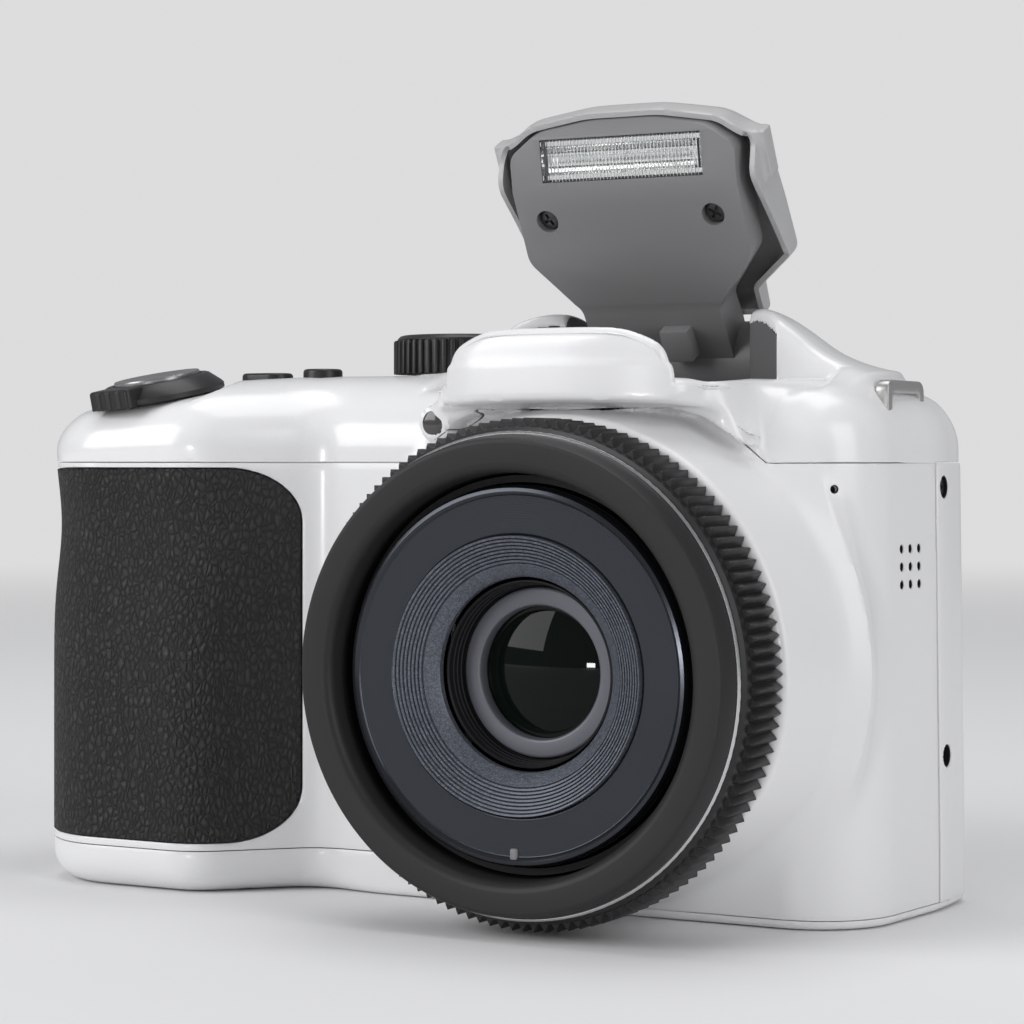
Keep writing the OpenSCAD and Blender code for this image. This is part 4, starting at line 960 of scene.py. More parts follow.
@dataclass
class BodyForm:
    """The blended form of the casings, in millimetres in the part's frame."""

    lens_h: float = 30.5
    seam: float = 55.1
    split: float = 4.3
    plate: float = 66.5
    shoulder: float = 56.8
    reach: float = 13.0
    base_r: float = 4.0
    bore: float = 26.4
    bulge_front: float = 29.0
    lip: float = 65.2
    bay_floor: float = 62.2
    collar: float = 34.3
    collar_top: float = 61.5
    seam_inset: float = 0.6
    notch_back: float = -18.5
    hump_foot: float = 55.5
    hump_back: float = 16.6
    brow_floor: float = 62.2
    brow_front: float = -30.1
    boss_floor: float = 2.4
    boss_trim: float = 3.0
    base_trim: float = 2.8
    grip_fall: float = 2.7
    corners: tuple = ((36.1, 17, 5), (-80, 17, 6), (-80, -29, 13), (-52, -29, 9), (-40, -17, 8),
                      (33.7, -17, 11), (36.5, 5.3, 40))
    head: tuple = ((-12.8, -0.6, 0.6), (-18.4, -5.3, 1), (-18.4, -21.8, 2.5), (-14.4, -26.4, 3),
                   (-8, -28.1, 12), (8, -28.1, 12), (14.4, -26.4, 3),
                   (18.4, -21.8, 2.5), (18.4, -5.3, 1), (12.8, -0.6, 0.6))
    brow_line: tuple = ((12.4, 57, 1), (15.8, 62.2, 1.2), (17.7, 64.7, 2.5), (14.9, 69.2, 4.5),
                        (8.5, 71.2, 10), (-8.5, 71.2, 10), (-14.9, 69.2, 4.5),
                        (-17.7, 64.7, 2.5), (-15.8, 62.2, 1.2), (-12.4, 57, 1))
    hump: tuple = ((-34, 70.0, 61.6, 9.5, 16.4), (-29.6, 70.7, 61.4, 10.5, 17.6), (-27, 71.4, 60, 11.5, 19.3),
                   (-24, 72.1, 58.3, 12.3, 20.8),
                   (-20, 72.8, 56.5, 13.2, 22.2), (-16, 73.4, 56, 14, 23), (-12, 73.9, 58, 14.5, 24.5),
                   (-9, 74.3, 61.5, 15, 27),
                   (-5, 74.4, 65.5, 14.5, 30), (0, 74.4, 66, 14, 30.5), (5, 74.0, 66, 13, 30),
                   (9.5, 72.4, 66, 12, 29), (13, 69.4, 65, 11, 27.5),
                   (15, 66.0, 63, 10, 26), (17, 60, 59, 10, 25), (22, 50, 50, 10, 25))
    shutter_at: tuple = (-63.5, -19.2, 63.5)
    shutter_axis: tuple = (-0.0858, -0.1736, 0.9811)
    lamp_at: tuple = (-19.8, -22.4, 60.0)
    plan: Outline = field(init=False)
    bay: Outline = field(init=False)
    brow: Outline = field(init=False)

    def __post_init__(self) -> None:
        """Samples the outlines and the hump's line."""
        self.plan = Outline(rounded(self.corners, 20), soften_from=2.5)
        self.bay = Outline(rounded(self.head, 10))
        self.brow = Outline(rounded(self.brow_line, 10))
        rows = np.array(self.hump)
        self.line_y = np.arange(-34, 22, 0.1)
        weights = np.exp(-0.5 * (np.arange(-45, 46) * 0.1 / 1.5) ** 2)
        weights /= weights.sum()
        self.line = [np.convolve(np.pad(np.interp(self.line_y, rows[:, 0], rows[:, c]), 45, mode="edge"),
                                 weights, "valid") for c in range(1, 5)]

    def waist(self, x: np.ndarray, y: np.ndarray, z: np.ndarray) -> np.ndarray:
        """Depth that the grip is drawn in under its top."""
        return np.exp(-((z - 47) / 8) ** 2) * ease(-46, -54, x) * ease(14, 2, y)

    def radius(self, y: np.ndarray) -> np.ndarray:
        """Radius of the lens bulge along the axis."""
        ahead = np.clip(-y, 15.8, self.bulge_front)
        return 30.2 + (self.bulge_front - ahead) * 0.25 + np.maximum(19.6 - ahead, 0) ** 2 * 0.12

    def off_axis(self, p: np.ndarray) -> np.ndarray:
        """Distance from the lens axis."""
        return np.hypot(p[:, 0], p[:, 2] - self.lens_h)

    def body(self, p: np.ndarray) -> np.ndarray:
        """Field of the body without its hump and bulge."""
        x, y, z = p.T
        depth = self.plan.depth(x, y) - self.waist(x, y, z)
        depth = depth - 0.012 * np.maximum(z - 8, 0) * ease(24, 34, x)
        fall = self.grip_fall * ease(-44, -81, x) * np.clip((z - 54) / 10, 0, 1.3)
        drop = self.plate - self.shoulder
        a, b = np.maximum(self.reach - depth, 0) / self.reach, np.maximum(z + fall - self.shoulder, 0) / drop
        size = np.sqrt(a * a + b * b)
        top = (size - 1) * np.where(size > 1e-3,
                                    (self.reach * a * a + drop * b * b) / np.maximum(size * size, 1e-6),
                                    self.reach)
        base_r = self.base_r - self.base_trim * ease(-46, -30, x)
        base = np.hypot(np.maximum(base_r - depth, 0), np.maximum(base_r - z, 0)) - base_r
        return np.maximum(top, base)

    def bulge(self, p: np.ndarray) -> np.ndarray:
        """Field of the round boss behind the lens ring."""
        side = (self.off_axis(p) - self.radius(p[:, 1])) * 0.96 + np.maximum(p[:, 1] + 14, 0) * 0.6
        side = side + self.boss_trim * ease(20, 3, p[:, 2])
        return soft_most(soft_most(side, -p[:, 1] - self.bulge_front, 0.8), self.boss_floor - p[:, 2], 2.0)

    def mound(self, p: np.ndarray) -> np.ndarray:
        """Field of the hump over the lens with its brow."""
        x, y, z = p.T
        top, base, flat, foot = (np.interp(y, self.line_y, row) for row in self.line)
        t = np.clip((np.abs(x) - flat) / (foot - flat), 0, 1)
        front = ease(-6, -13, y)
        share = (0.5 + 0.5 * np.cos(np.pi * t)) * (1 - front) + np.cos(np.pi / 2 * t) * front
        slope = (top - base) * np.pi / 2 / (foot - flat) * (np.sin(np.pi * t) * (1 - front) + np.sin(np.pi / 2 * t) * front)
        upper = (z - base - (top - base) * share) / np.sqrt(1 + slope ** 2)
        hump = soft_most(soft_most(upper, np.abs(x) - foot, 0.6), y - self.hump_back, 1.5)
        hump = soft_most(hump, self.lamp_at[1] - y, 2.0)
        hump = soft_most(hump, self.hump_foot - z, 1.5)
        hump = soft_most(hump, np.minimum(self.collar - self.off_axis(p), self.notch_back - y), 0.6)
        rise = 0.22 * (y + 29.3) * np.clip((z - self.brow_floor) / 6, 0, 1)
        face = self.brow_front + 2.6 * (np.abs(x) / 16) ** 3 + 0.05 * (z - 61.5) - y
        brow = soft_most(soft_most(-self.brow.depth(x, z - rise), face, 2.2), y + 18, 1.0)
        brow = soft_least(brow, np.maximum(-self.bay.depth(x, y) - 1.0, z - self.lip - 1), 1.5)
        brow = soft_most(brow, self.brow_floor - 0.1 * (y + 29.5) - z, 0.8)
        return soft_least(hump, brow, 1.6)

    def shelf(self, p: np.ndarray) -> np.ndarray:
        """Field of the step over the lip at the sides of the bay."""
        x, y, z = p.T
        rear = np.clip(1.2 - 0.84 * (np.abs(x) - 11), -5.1, 0)
        return np.maximum.reduce([np.abs(x) - 26, -26.6 - y, y - rear, self.lip - z])

    def recess(self, p: np.ndarray) -> np.ndarray:
        """Field of the bay that the flash folds into."""
        x, y, z = p.T
        deep = np.maximum(-self.bay.depth(x, y), self.bay_floor + np.clip((-20 - y) * 0.25, 0, 2) - z)
        neck = np.maximum.reduce([np.abs(x) - 12.8, -7.2 - y, y - 13.1, 60.7 - z])
        return np.minimum(deep, neck)

    def lever_seat(self, p: np.ndarray) -> np.ndarray:
        """Field of the flat that the zoom lever turns on."""
        axis = np.array(self.shutter_axis)
        away = p - np.array(self.shutter_at)
        height = away @ axis
        return np.maximum(np.linalg.norm(away - height[:, None] * axis, axis=1) - 10.3, -height)

    def lamp_boss(self, p: np.ndarray) -> np.ndarray:
        """Field of the small boss round the focus lamp."""
        x, y, z = self.lamp_at
        return np.maximum.reduce([np.hypot(p[:, 0] - x, p[:, 2] - z) - 2.2, y - 0.2 - p[:, 1], p[:, 1] + 12])

    def whole(self, p: np.ndarray) -> np.ndarray:
        """Field of the whole casing."""
        shape = soft_least(self.body(p), self.bulge(p), 3.2)
        shape = soft_least(shape, self.mound(p), 3.6 - 2.8 * ease(-13, -20, p[:, 1]))
        shape = soft_least(shape, self.lamp_boss(p), 0.8)
        shape = soft_most(shape, -self.shelf(p), 2.2)
        shape = soft_most(shape, -self.recess(p), 0.7)
        shape = soft_most(shape, -self.lever_seat(p), 0.8)
        return soft_most(shape, -p[:, 2], 0.3)

    def reached(self, start: Sequence[float], way: Sequence[float]) -> np.ndarray:
        """Gives the last point of the casing on a ray that leaves it.

        Args:
            start: a point inside.
            way: unit direction of the ray.

        Returns:
            The point on the surface.
        """
        steps = np.arange(0, 40, 0.02)
        line = np.array(start) + steps[:, None] * np.array(way)
        return line[np.argmax(self.whole(line) > 0)]

    def top_side(self, p: np.ndarray) -> np.ndarray:
        """Field of the seam under the top cover, positive above it."""
        collar = np.minimum(self.collar - self.seam_inset - self.off_axis(p), self.collar_top - p[:, 2])
        return np.minimum(p[:, 2] - self.seam, -collar)

    def base_side(self, p: np.ndarray) -> np.ndarray:
        """Field of the seam over the base, positive below it."""
        return 5.5 - 4.3 * ease(-4, 6, p[:, 0]) - p[:, 2]

    def rubber(self, p: np.ndarray) -> np.ndarray:
        """Field of the grip's rubber, positive on it."""
        x, y, z = p.T
        r = 7.0
        edges = [-41.6 - x, z - 6.5, 54.4 - z, 2.0 - y]
        pairs = ((0, 1, r), (0, 2, r), (3, 1, 1.5), (3, 2, 1.5))
        return np.minimum.reduce([s - np.hypot(np.maximum(s - edges[a], 0),
                                               np.maximum(s - edges[b], 0)) for a, b, s in pairs])


def round_hole(axis: int, at: Pair, r: float) -> Field:
    """Gives a field that is positive outside a round hole along an axis."""
    a, b = [i for i in range(3) if i != axis]
    return lambda p: np.hypot(p[:, a] - at[0], p[:, b] - at[1]) - r


def long_hole(axis: int, at: Pair, w: float, h: float, r: float) -> Field:
    """Gives a field that is positive outside a rounded rectangular hole along an axis."""
    a, b = [i for i in range(3) if i != axis]

    def level(p: np.ndarray) -> np.ndarray:
        """Distance from the hole's edge."""
        u, v = np.abs(p[:, a] - at[0]) - w / 2 + r, np.abs(p[:, b] - at[1]) - h / 2 + r
        return np.hypot(np.maximum(u, 0), np.maximum(v, 0)) + np.minimum(np.maximum(u, v), 0) - r

    return level


@dataclass
class Casing:
    """White casings and the grip's rubber."""

    form: BodyForm
    pitch: float = 0.55
    fine: float = 0.48
    wall: float = 1.3
    gap: float = 0.06
    keys: tuple = ((-47.5, 48.6, 2.7), (-47.5, 42, 2.7), (-68.5, 42, 2.7), (-47.5, 17.5, 2.7),
                   (-68.5, 17.5, 2.7), (-58, 30, 9.65))
    screen: tuple = (0.0, 28.85, 64.0, 46.5, 2.0)
    door: tuple = (-59.35, -5.4, 22.8, 32.5)
    speaker: tuple = (-4.7, -2.5, -0.3)
    speaker_z: tuple = (40.45, 42.6, 44.75)
    mic: tuple = (24.0, -6.0, 52.0)
    mic_way: tuple = (0.574, -0.819, 0.0)
    flank: tuple = ((6.6, 19.0), (6.6, 52.1))
    feet: tuple = ((-34, -13.2), (-34, 11), (25, -13.2), (25, 11))
    foot_r: float = 1.5
    tripod: tuple = ((-37, 0), 5.9)
    top_holes: tuple = (((-31, 4), 9.55), ((-46.2, -6.5), 2.75), ((-63.7, -19.6), 3.5))
    drive_hole: tuple = ((-54, -8), 7.5, 4.9, 2.44)
    port_hole: tuple = ((7.9, 32), 5.6, 16.2, 0.4)
    liner_wall: float = 0.9
    bay_half: float = 18.6

    def top(self) -> None:
        """Builds the top cover with its hump, bay and holes."""
        f = self.form
        skin = Skin.grown(f.whole, (-81.3, -31.4, 53.6), (38.0, 18.6, 76.0), self.fine)
        cover = skin.clipped(lambda p: f.top_side(p) - self.gap)
        bay = lambda p: np.maximum(np.minimum(f.recess(p), f.shelf(p)) - 0.12,
                                   np.abs(p[:, 0]) - self.bay_half)
        fine = cover.refined(bay, 0.7, 1)
        cover = fine.clipped(bay, CRISP)
        liner = fine.clipped(lambda p: -bay(p), CRISP)
        seat(liner.walled(self.liner_wall, 0.0, 0.02), "bay_liner", "camera_body", BAY_GREY,
             slot="grey_satin")
        dial, power, shutter = (round_hole(2, *row) for row in self.top_holes)
        for hole in (dial, long_hole(2, *self.drive_hole), power, shutter):
            cover = cover.bored(lambda p, h=hole: np.where(p[:, 2] > 61, h(p), FAR))
        seat(cover.walled(self.wall), "top_cover_skin", "camera_body", WHITE_COVER, "top_cover",
             slot="white_cover")

    def base(self, below: Skin) -> None:
        """Builds the base with its door opening and holes."""
        f = self.form
        base = below.clipped(lambda p: f.base_side(p) - self.gap)
        x, y, w, h = self.door
        holes = [long_hole(2, (x, y), w, h, 0.5), round_hole(2, *self.tripod)]
        holes += [round_hole(2, at, self.foot_r) for at in self.feet]
        for hole in holes:
            base = base.bored(lambda p, h=hole: np.where(p[:, 2] < 3, h(p), FAR))
        seat(base.walled(self.wall), "bottom_cover_skin", "camera_body", WHITE_SHELL, "bottom_cover",
             slot="white_shell")

    def front(self, middle: Skin) -> None:
        """Builds the front with the grip's rubber and the sound holes, whose walls are lined with black cups as
        painted shade.
        """
        f = self.form
        front = middle.clipped(lambda p: f.split - self.gap - p[:, 1])
        pad = front.clipped(lambda p: f.rubber(p) - 0.1)
        seat(pad.walled(1.2, 0.12, 0.3), "grip_pad", "camera_body", GRIP, "grip_rubber", slot="grip_rubber")
        front = front.clipped(lambda p: -f.rubber(p) - 0.05)
        front = front.clipped(lambda p: np.where(p[:, 1] < -20, f.off_axis(p) - f.bore, 1.0))
        # Black cups line the white walls of the sound holes: painted shade inside the holes.
        cups = []
        for y in self.speaker:
            for z in self.speaker_z:
                front = front.bored(lambda p: np.where(p[:, 0] > 30, round_hole(0, (y, z), 0.55)(p), FAR))
                cups.append(self.cup(f.reached((30, y, z), (1, 0, 0)), Vector((1, 0, 0)), 0.54))
        at, way = np.array(self.mic), np.array(self.mic_way)
        axis = lambda p: np.linalg.norm(p - at - ((p - at) @ way)[:, None] * way, axis=1) - 0.5
        front = front.bored(lambda p: np.where((p - at) @ way > 5, axis(p), FAR))
        cups.append(self.cup(f.reached(self.mic, self.mic_way), Vector(self.mic_way), 0.49))
        seat(gathered(cups), "sound_holes", "camera_body", INNER_BLACK, slot="inner_black")
        seat(front.walled(self.wall), "front_shell_skin", "camera_body", WHITE_SHELL, "front_shell",
             slot="white_shell")

    def cup(self, at: np.ndarray, way: Vector, r: float) -> bpy.types.Object:
        """Builds a black cup just under the surface that lines a hole's white walls: painted shade inside the hole.

        Args:
            at: point of the surface.
            way: direction out of it.
            r: radius of the cup.

        Returns:
            The cup, in millimetres.
        """
        cup = turned([(0, -1.0), (r - 0.08, -1.0), (r - 0.08, -0.16), (r, -0.12), (r, -1.25), (0, -1.25)], 24)
        return put(cup, Matrix.Translation(Vector(at)) @ way.to_track_quat("Z", "Y").to_matrix().to_4x4())

    def rear(self, middle: Skin) -> None:
        """Builds the back with its screen, key and screw openings; the screw openings are lined with black tubes as
        painted shade.
        """
        f = self.form
        rear = middle.clipped(lambda p: p[:, 1] - f.split - self.gap)
        rear = rear.bored(lambda p: np.where(p[:, 1] > 12, long_hole(1, self.screen[:2], *self.screen[2:])(p),
                                             FAR))
        for kx, kz, r in self.keys:
            rear = rear.bored(lambda p: np.where(p[:, 1] > 12, round_hole(1, (kx, kz), r)(p), FAR))
        rear = rear.bored(lambda p: np.where(p[:, 0] < -78, long_hole(0, *self.port_hole)(p), FAR))
        # Black tubes line the white walls of the screw openings: painted shade inside them.
        hole_shade_linings = []
        for at in self.flank:
            rear = rear.bored(lambda p: np.where(p[:, 0] > 33, round_hole(0, at, 1.42)(p), FAR))
            hole_shade_lining = turned([(1.2, -1.3), (1.3, 0.0), (1.4, 0.04), (1.4, -1.3), (1.2, -1.3)], 32)
            hole_shade_linings.append(put(hole_shade_lining, Axis.RIGHT.matrix(f.reached((30, *at), (1, 0, 0)))))
        seat(gathered(hole_shade_linings), "screw_sleeves", "camera_body", INNER_BLACK, slot="inner_black")
        seat(rear.walled(self.wall, 0.2), "rear_shell_skin", "camera_body", WHITE_SHELL, "rear_shell",
             slot="white_shell")

    def build(self) -> None:
        """Builds and dresses the five casings."""
        f = self.form
        self.top()
        skin = Skin.grown(f.whole, (-81.3, -31.4, -1.3), (38.0, 18.6, 63.4), self.pitch)
        below = skin.clipped(lambda p: -f.top_side(p) - self.gap)
        self.base(below)
        middle = below.clipped(lambda p: -f.base_side(p) - self.gap)
        self.front(middle)
        self.rear(middle)


@dataclass
class Lens:
    """Knurled ring, telescoping barrels and glass."""

    at: tuple = (0.0, 0.0, 30.5)
    teeth: int = 126
    knurl_r: float = 29.9
    knurl_root: float = 29.0

    def _turn(self, profile: Sequence[Pair], name: str, body: str, finish: Finish, *nodes: str,
              slot: str = "", sides: int = 192) -> None:
        """Turns one piece about the lens axis and dresses it."""
        obj = put(turned(profile, sides), Axis.AHEAD.matrix(self.at))
        seat(obj, name, body, finish, *nodes, slot=slot)

    def knurl(self) -> None:
        """Builds the ring of teeth with rounded tops."""
        steps = 6
        teeth = turned([(27.6, 29.05), (self.knurl_r - 0.3, 29.05), (self.knurl_r, 29.4),
                        (self.knurl_r, 35.75), (self.knurl_r - 0.3, 36.1), (27.6, 36.1),
                        (27.6, 29.05)], self.teeth * steps)
        for v in teeth.data.vertices:
            out = math.hypot(v.co.x, v.co.y)
            if out > 29:
                phase = math.atan2(v.co.y, v.co.x) * self.teeth / (2 * math.pi) % 1
                wave = min(max(2.6 * abs(phase - 0.5) - 0.15, 0), 1)
                share = 1 - (self.knurl_r - self.knurl_root) * wave / out
                v.co.x, v.co.y = v.co.x * share, v.co.y * share
        band = turned([(26.2, 30.0), (28.9, 30.0), (28.9, 36.0), (28.75, 36.9), (28.35, 37.4), (26.2, 37.4),
                       (26.2, 30.0)], 192)
        ring = put(gathered([teeth, band]), Axis.AHEAD.matrix(self.at))
        seat(ring, "knurl", "camera_body", BLACK_GRIP, "knurled_ring", slot="dark_satin", angle=28)

    def build(self) -> None:
        """Builds and dresses the lens."""
        self.knurl()
        self._turn([(23.5, 36.8), (23.5, 39.7), (23.75, 40.35), (24.2, 40.75), (24.6, 40.88), (24.7, 40.9),
                    (26.9, 40.985), (27.0, 40.98), (27.3, 40.9), (27.5, 40.6),
                    (28.0, 38.3), (28.0, 38.05), (25.9, 38.05), (25.9, 36.8), (23.5, 36.8)], "face_ring",
                    "camera_body", RING_SATIN, "lens_ring",
                   slot="dark_satin")
        self._turn([(27.2, 37.42), (27.2, 38.0), (28.1, 38.0), (28.3, 37.85), (28.35, 37.7), (28.3, 37.42),
                    (27.2, 37.42)], "bright_line",
                   "camera_body", BRIGHT, "accent_ring", slot="bright_metal")
        grooves = [(16.5 + 0.125 * i, 37.9 + 0.034 * i / 8 + 0.033 * (i % 2)) for i in range(36)]
        bore = [(21.2, 12.3), (21.2, 36.0), (16.35, 36.0), (16.35, 37.75)]
        rim = [(21.05, 38.3), (21.35, 38.5), (21.75, 38.4), (22.0, 38.0), (22.1, 37.3), (22.1, 12.3),
               (21.2, 12.3)]
        self._turn(bore + grooves + rim, "barrel_face", "front_barrel", BARREL, "front_barrel",
                   slot="barrel_blue")
        self._turn([(8.4, 29.2), (8.4, 30.3), (10.2, 30.3), (10.2, 31.5), (10.3, 31.6), (10.3, 32.2),
                    (10.42, 32.3), (10.42, 32.9), (10.54, 33.0),
                    (10.54, 33.6), (10.66, 33.7), (10.66, 34.6), (10.8, 34.75), (10.95, 34.7), (11.05, 34.4),
                    (11.05, 29.2), (8.4, 29.2)],
                   "dark_cone", "front_barrel", INNER_BLACK, slot="inner_black")
        ribs: list[Pair] = []
        count, outer, inner, front, back = 8, 16.25, 13.0, 38.45, 36.9
        for i in range(count):
            r0 = outer + (inner - outer) * i / count
            r1 = outer + (inner - outer) * (i + 1) / count
            h0 = front + (back - front) * i / count
            h1 = front + (back - front) * (i + 1) / count
            ribs += [(r0, h0 - 0.12), (r0 - 0.07, h0), (r1 + 0.13, h0 - 0.1), (r1 + 0.1, h0 - 0.3),
                     (r1, h1 - 0.3)]
        profile = [(16.25, 34.8)] + ribs + [(12.95, 36.8), (11.6, 35.75), (11.4, 35.5), (11.35, 34.8),
                                            (16.25, 34.8)]
        self._turn(profile, "ribbed_baffle", "front_barrel", BAFFLE, "baffle_ring", slot="barrel_blue")
        self._turn([(7.8, 30.5), (7.8, 31.5), (8.0, 31.85), (8.15, 31.93), (8.25, 31.95), (9.7, 31.95),
                    (9.8, 31.93), (9.95, 31.85), (10.1, 31.5), (10.1, 30.5), (7.8, 30.5)],
                   "retaining_ring", "front_barrel", RETAINER, "glass_retainer", slot="barrel_blue")
        nub = block((-0.5, -21.3, 37.7), (0.5, -19.9, 38.4), 0.25, 3)
        seat(put(nub, Axis.AHEAD.matrix(self.at)), "barrel_nub", "front_barrel", GREY_SATIN,
             slot="grey_satin")
        ball, reach = 24.0, 7.75
        dome = [(ball * math.sin(a),
                 31.6 - ball * (1 - math.cos(a))) for a in np.linspace(math.asin(reach / ball), 0, 14)]
        # The front glass lets no light through: its near-black colour is painted shade of the lens's inside over
        # its black parts.
        self._turn([(0, 30.45), (reach, 30.45)] + dome, "front_glass", "front_barrel", GLASS, "front_element",
                   slot="clear")


@dataclass
class FlashHead:
    """Flash that lifts from the hump, modelled folded down and then lifted."""

    hinge: tuple = (0.0, 7.5, 68.2)
    lift: float = 62.0
    low: float = 62.6
    high: float = 65.6
    crease: float = -19.3
    tilt: float = 17.8
    window_y: float = -22.9
    window: tuple = (22.0, 5.2, 1.2)
    neck: float = 12.3
    screw: tuple = (11.5, -15.2)
    bevel: float = -25.7
    rows: tuple = ((-28, 70.7, 66.9), (-26.6, 71.3, 65.9), (-24.4, 71.9, 65.7), (-22.8, 72.2, 65.5),
                   (-20.2, 72.6, 62.9), (-14, 73.7, 65.6), (-6.7, 74.4, 68.4),
                   (-2.8, 74.4, 69.4), (1.8, 74.2, 69.8))
    lid: tuple = ((12.3, 1.8, 0.3), (12.3, -2.0, 0.8), (18, -6.8, 1.2), (17.8, -23.6, 2.5), (13.2, -26.7, 6),
                  (5, -27.9, 20))

    def lifted(self) -> Matrix:
        """Gives the turn from folded to lifted."""
        at = Vector(self.hinge)
        fold = Matrix.Rotation(-math.radians(self.lift), 4, "X")
        return Matrix.Translation(at) @ fold @ Matrix.Translation(-at)

    def at_window(self) -> Matrix:
        """Gives the window's own frame, folded down."""
        height = self.low + (self.crease - self.window_y) * math.tan(math.radians(self.tilt))
        lean = Matrix.Rotation(-math.radians(self.tilt), 4, "X")
        return Matrix.Translation((0, self.window_y, height)) @ lean

    def plate(self) -> None:
        """Builds the grey plate with its neck, window opening and screw wells."""
        half = [(9.6, 7.5, 0.5), (9.6, -2.6, 2), (15.5, -9.6, 3), (15.5, -23.6, 2), (12, -26.0, 6),
                (4.5, -27.0, 20)]
        outline = rounded(half + [(-x, y, r) for x, y, r in half[::-1]], 8)
        body = slab(outline, 55, 80)
        rise = self.low + (self.crease - self.bevel) * math.tan(math.radians(self.tilt))
        side = [(-27.6, rise + 2.4), (self.bevel, rise), (self.crease, self.low), (-3.5, self.low),
                (7.5, 64.2), (7.5, 69.2), (1.5, 69), (-3.5, 68),
                (-8, 66.6), (-27.6, 68.2)]
        profile = put(slab(side, -40, 40), Matrix(((0, 0, 1, 0), (1, 0, 0, 0), (0, 1, 0, 0), (0, 0, 0, 1))))
        combine(body, [profile], "INTERSECT")
        soften(body, 0.3, 2)
        w, h, _ = self.window
        mouth = put(block((-w / 2 - 0.1, -h / 2 - 0.1, -3), (w / 2 + 0.1, h / 2 + 0.1, 6)), self.at_window())
        wells = [put(turned([(0, 0), (1.5, 0), (1.5, 4.6), (0, 4.6)], 40),
                     Matrix.Translation((s * self.screw[0], self.screw[1], 60))) for s in (-1, 1)]
        combine(body, [mouth, *wells], "DIFFERENCE")
        knuckle = put(turned([(0, -12.3), (4.7, -12.3), (5, -12), (5, 12), (4.7, 12.3), (0, 12.3)], 48),
                      Axis.RIGHT.matrix(self.hinge))
        catch = block((1.1, 0, self.low - 1.2), (5.1, 4.4, self.low + 1.5), 0.3, 2)
        piece = put(gathered([body, knuckle, catch]), self.lifted())
        seat(piece, "flash_plate", "flash_head", GREY_SATIN, "flash_housing", slot="grey_satin")

    def cover(self) -> None:
        """Builds the pearl lid with its slanted rear corners and finger tabs."""
        plan = Outline(rounded(list(self.lid) + [(-x, y, r) for x, y, r in self.lid[::-1]], 10), 4.0, 0.15)
        rows = np.array(self.rows)
        along = np.arange(-31, 5, 0.1)
        weights = np.exp(-0.5 * (np.arange(-30, 31) * 0.1) ** 2)
        weights /= weights.sum()
        tops, rims = (np.convolve(np.pad(np.interp(along, rows[:, 0], rows[:, c]), 30, mode="edge"), weights,
                                  "valid") for c in (1, 2))

        def shape(p: np.ndarray) -> np.ndarray:
            """Field of the lid, filled."""
            x, y, z = p.T
            outer = soft_most(-plan.depth(x, y), z - np.interp(y, along, tops) + 0.0045 * x * x, 2.6)
            tab = np.maximum.reduce([np.abs(x) - 18.7, np.abs(y + 21.4) - 3.0, np.abs(z - 67.3) - 1.3])
            return soft_least(outer, tab, 0.9)

        skin = Skin.grown(shape, (-19.6, -29.6, 61.0), (19.6, 3.2, 76.0), 0.36)
        lid = skin.clipped(lambda p: p[:, 2] - np.interp(p[:, 1], along, rims))
        seat(put(lid.walled(0.75), self.lifted()), "flash_lid", "flash_head", PEARL_GREY, "flash_cover",
             slot="pearl_grey")

    def window_piece(self) -> None:
        """Builds the clear window with ribs on its inner face."""
        w, h, t = self.window
        ribs = 44
        line = [(-w / 2, 0.0), (w / 2, 0.0)]
        for i in range(ribs):
            x = w / 2 - 0.4 - (w - 0.8) * (i + 0.5) / ribs
            line += [(x + 0.2, t), (x, t - 0.28), (x - 0.2, t)]
        line = line[:2] + [(w / 2, t)] + line[2:] + [(-w / 2, t)]
        pane = put(slab(line, -h / 2, h / 2), Matrix(((1, 0, 0, 0), (0, 0, 1, 0), (0, 1, 0, 0),
                                                      (0, 0, 0, 1))))
        edit(pane)
        close(pane)
        seat(put(pane, self.lifted() @ self.at_window()), "flash_pane", "flash_head", CLEAR, "flash_window",
             slot="clear", angle=20)

    def screws(self) -> None:
        """Builds the two cross-head screws."""
        heads = []
        for side in (-1, 1):
            head = turned([(0, 0.0), (0.9, 0.02), (1.25, 0.14), (1.35, 0.35), (1.35, 0.95), (0.8, 1.0),
                           (0.8, 3.4), (0, 3.6)], 40)
            slots = [block((-0.85, -0.2, -0.5), (0.85, 0.2, 0.45)),
                     block((-0.2, -0.85, -0.5), (0.2, 0.85, 0.45))]
            combine(head, slots, "DIFFERENCE")
            turn = Matrix.Rotation(0.5 * side, 4, "Z")
            place = Matrix.Translation((side * self.screw[0], self.screw[1], self.low + 0.7))
            heads.append(put(head, place @ turn))
        seat(put(gathered(heads), self.lifted()), "flash_screw_heads", "flash_head", STEEL, "flash_screws",
             slot="screw_steel")

    def build(self) -> None:
        """Builds and dresses the flash head."""
        self.plate()
        self.cover()
        self.window_piece()
        self.screws()


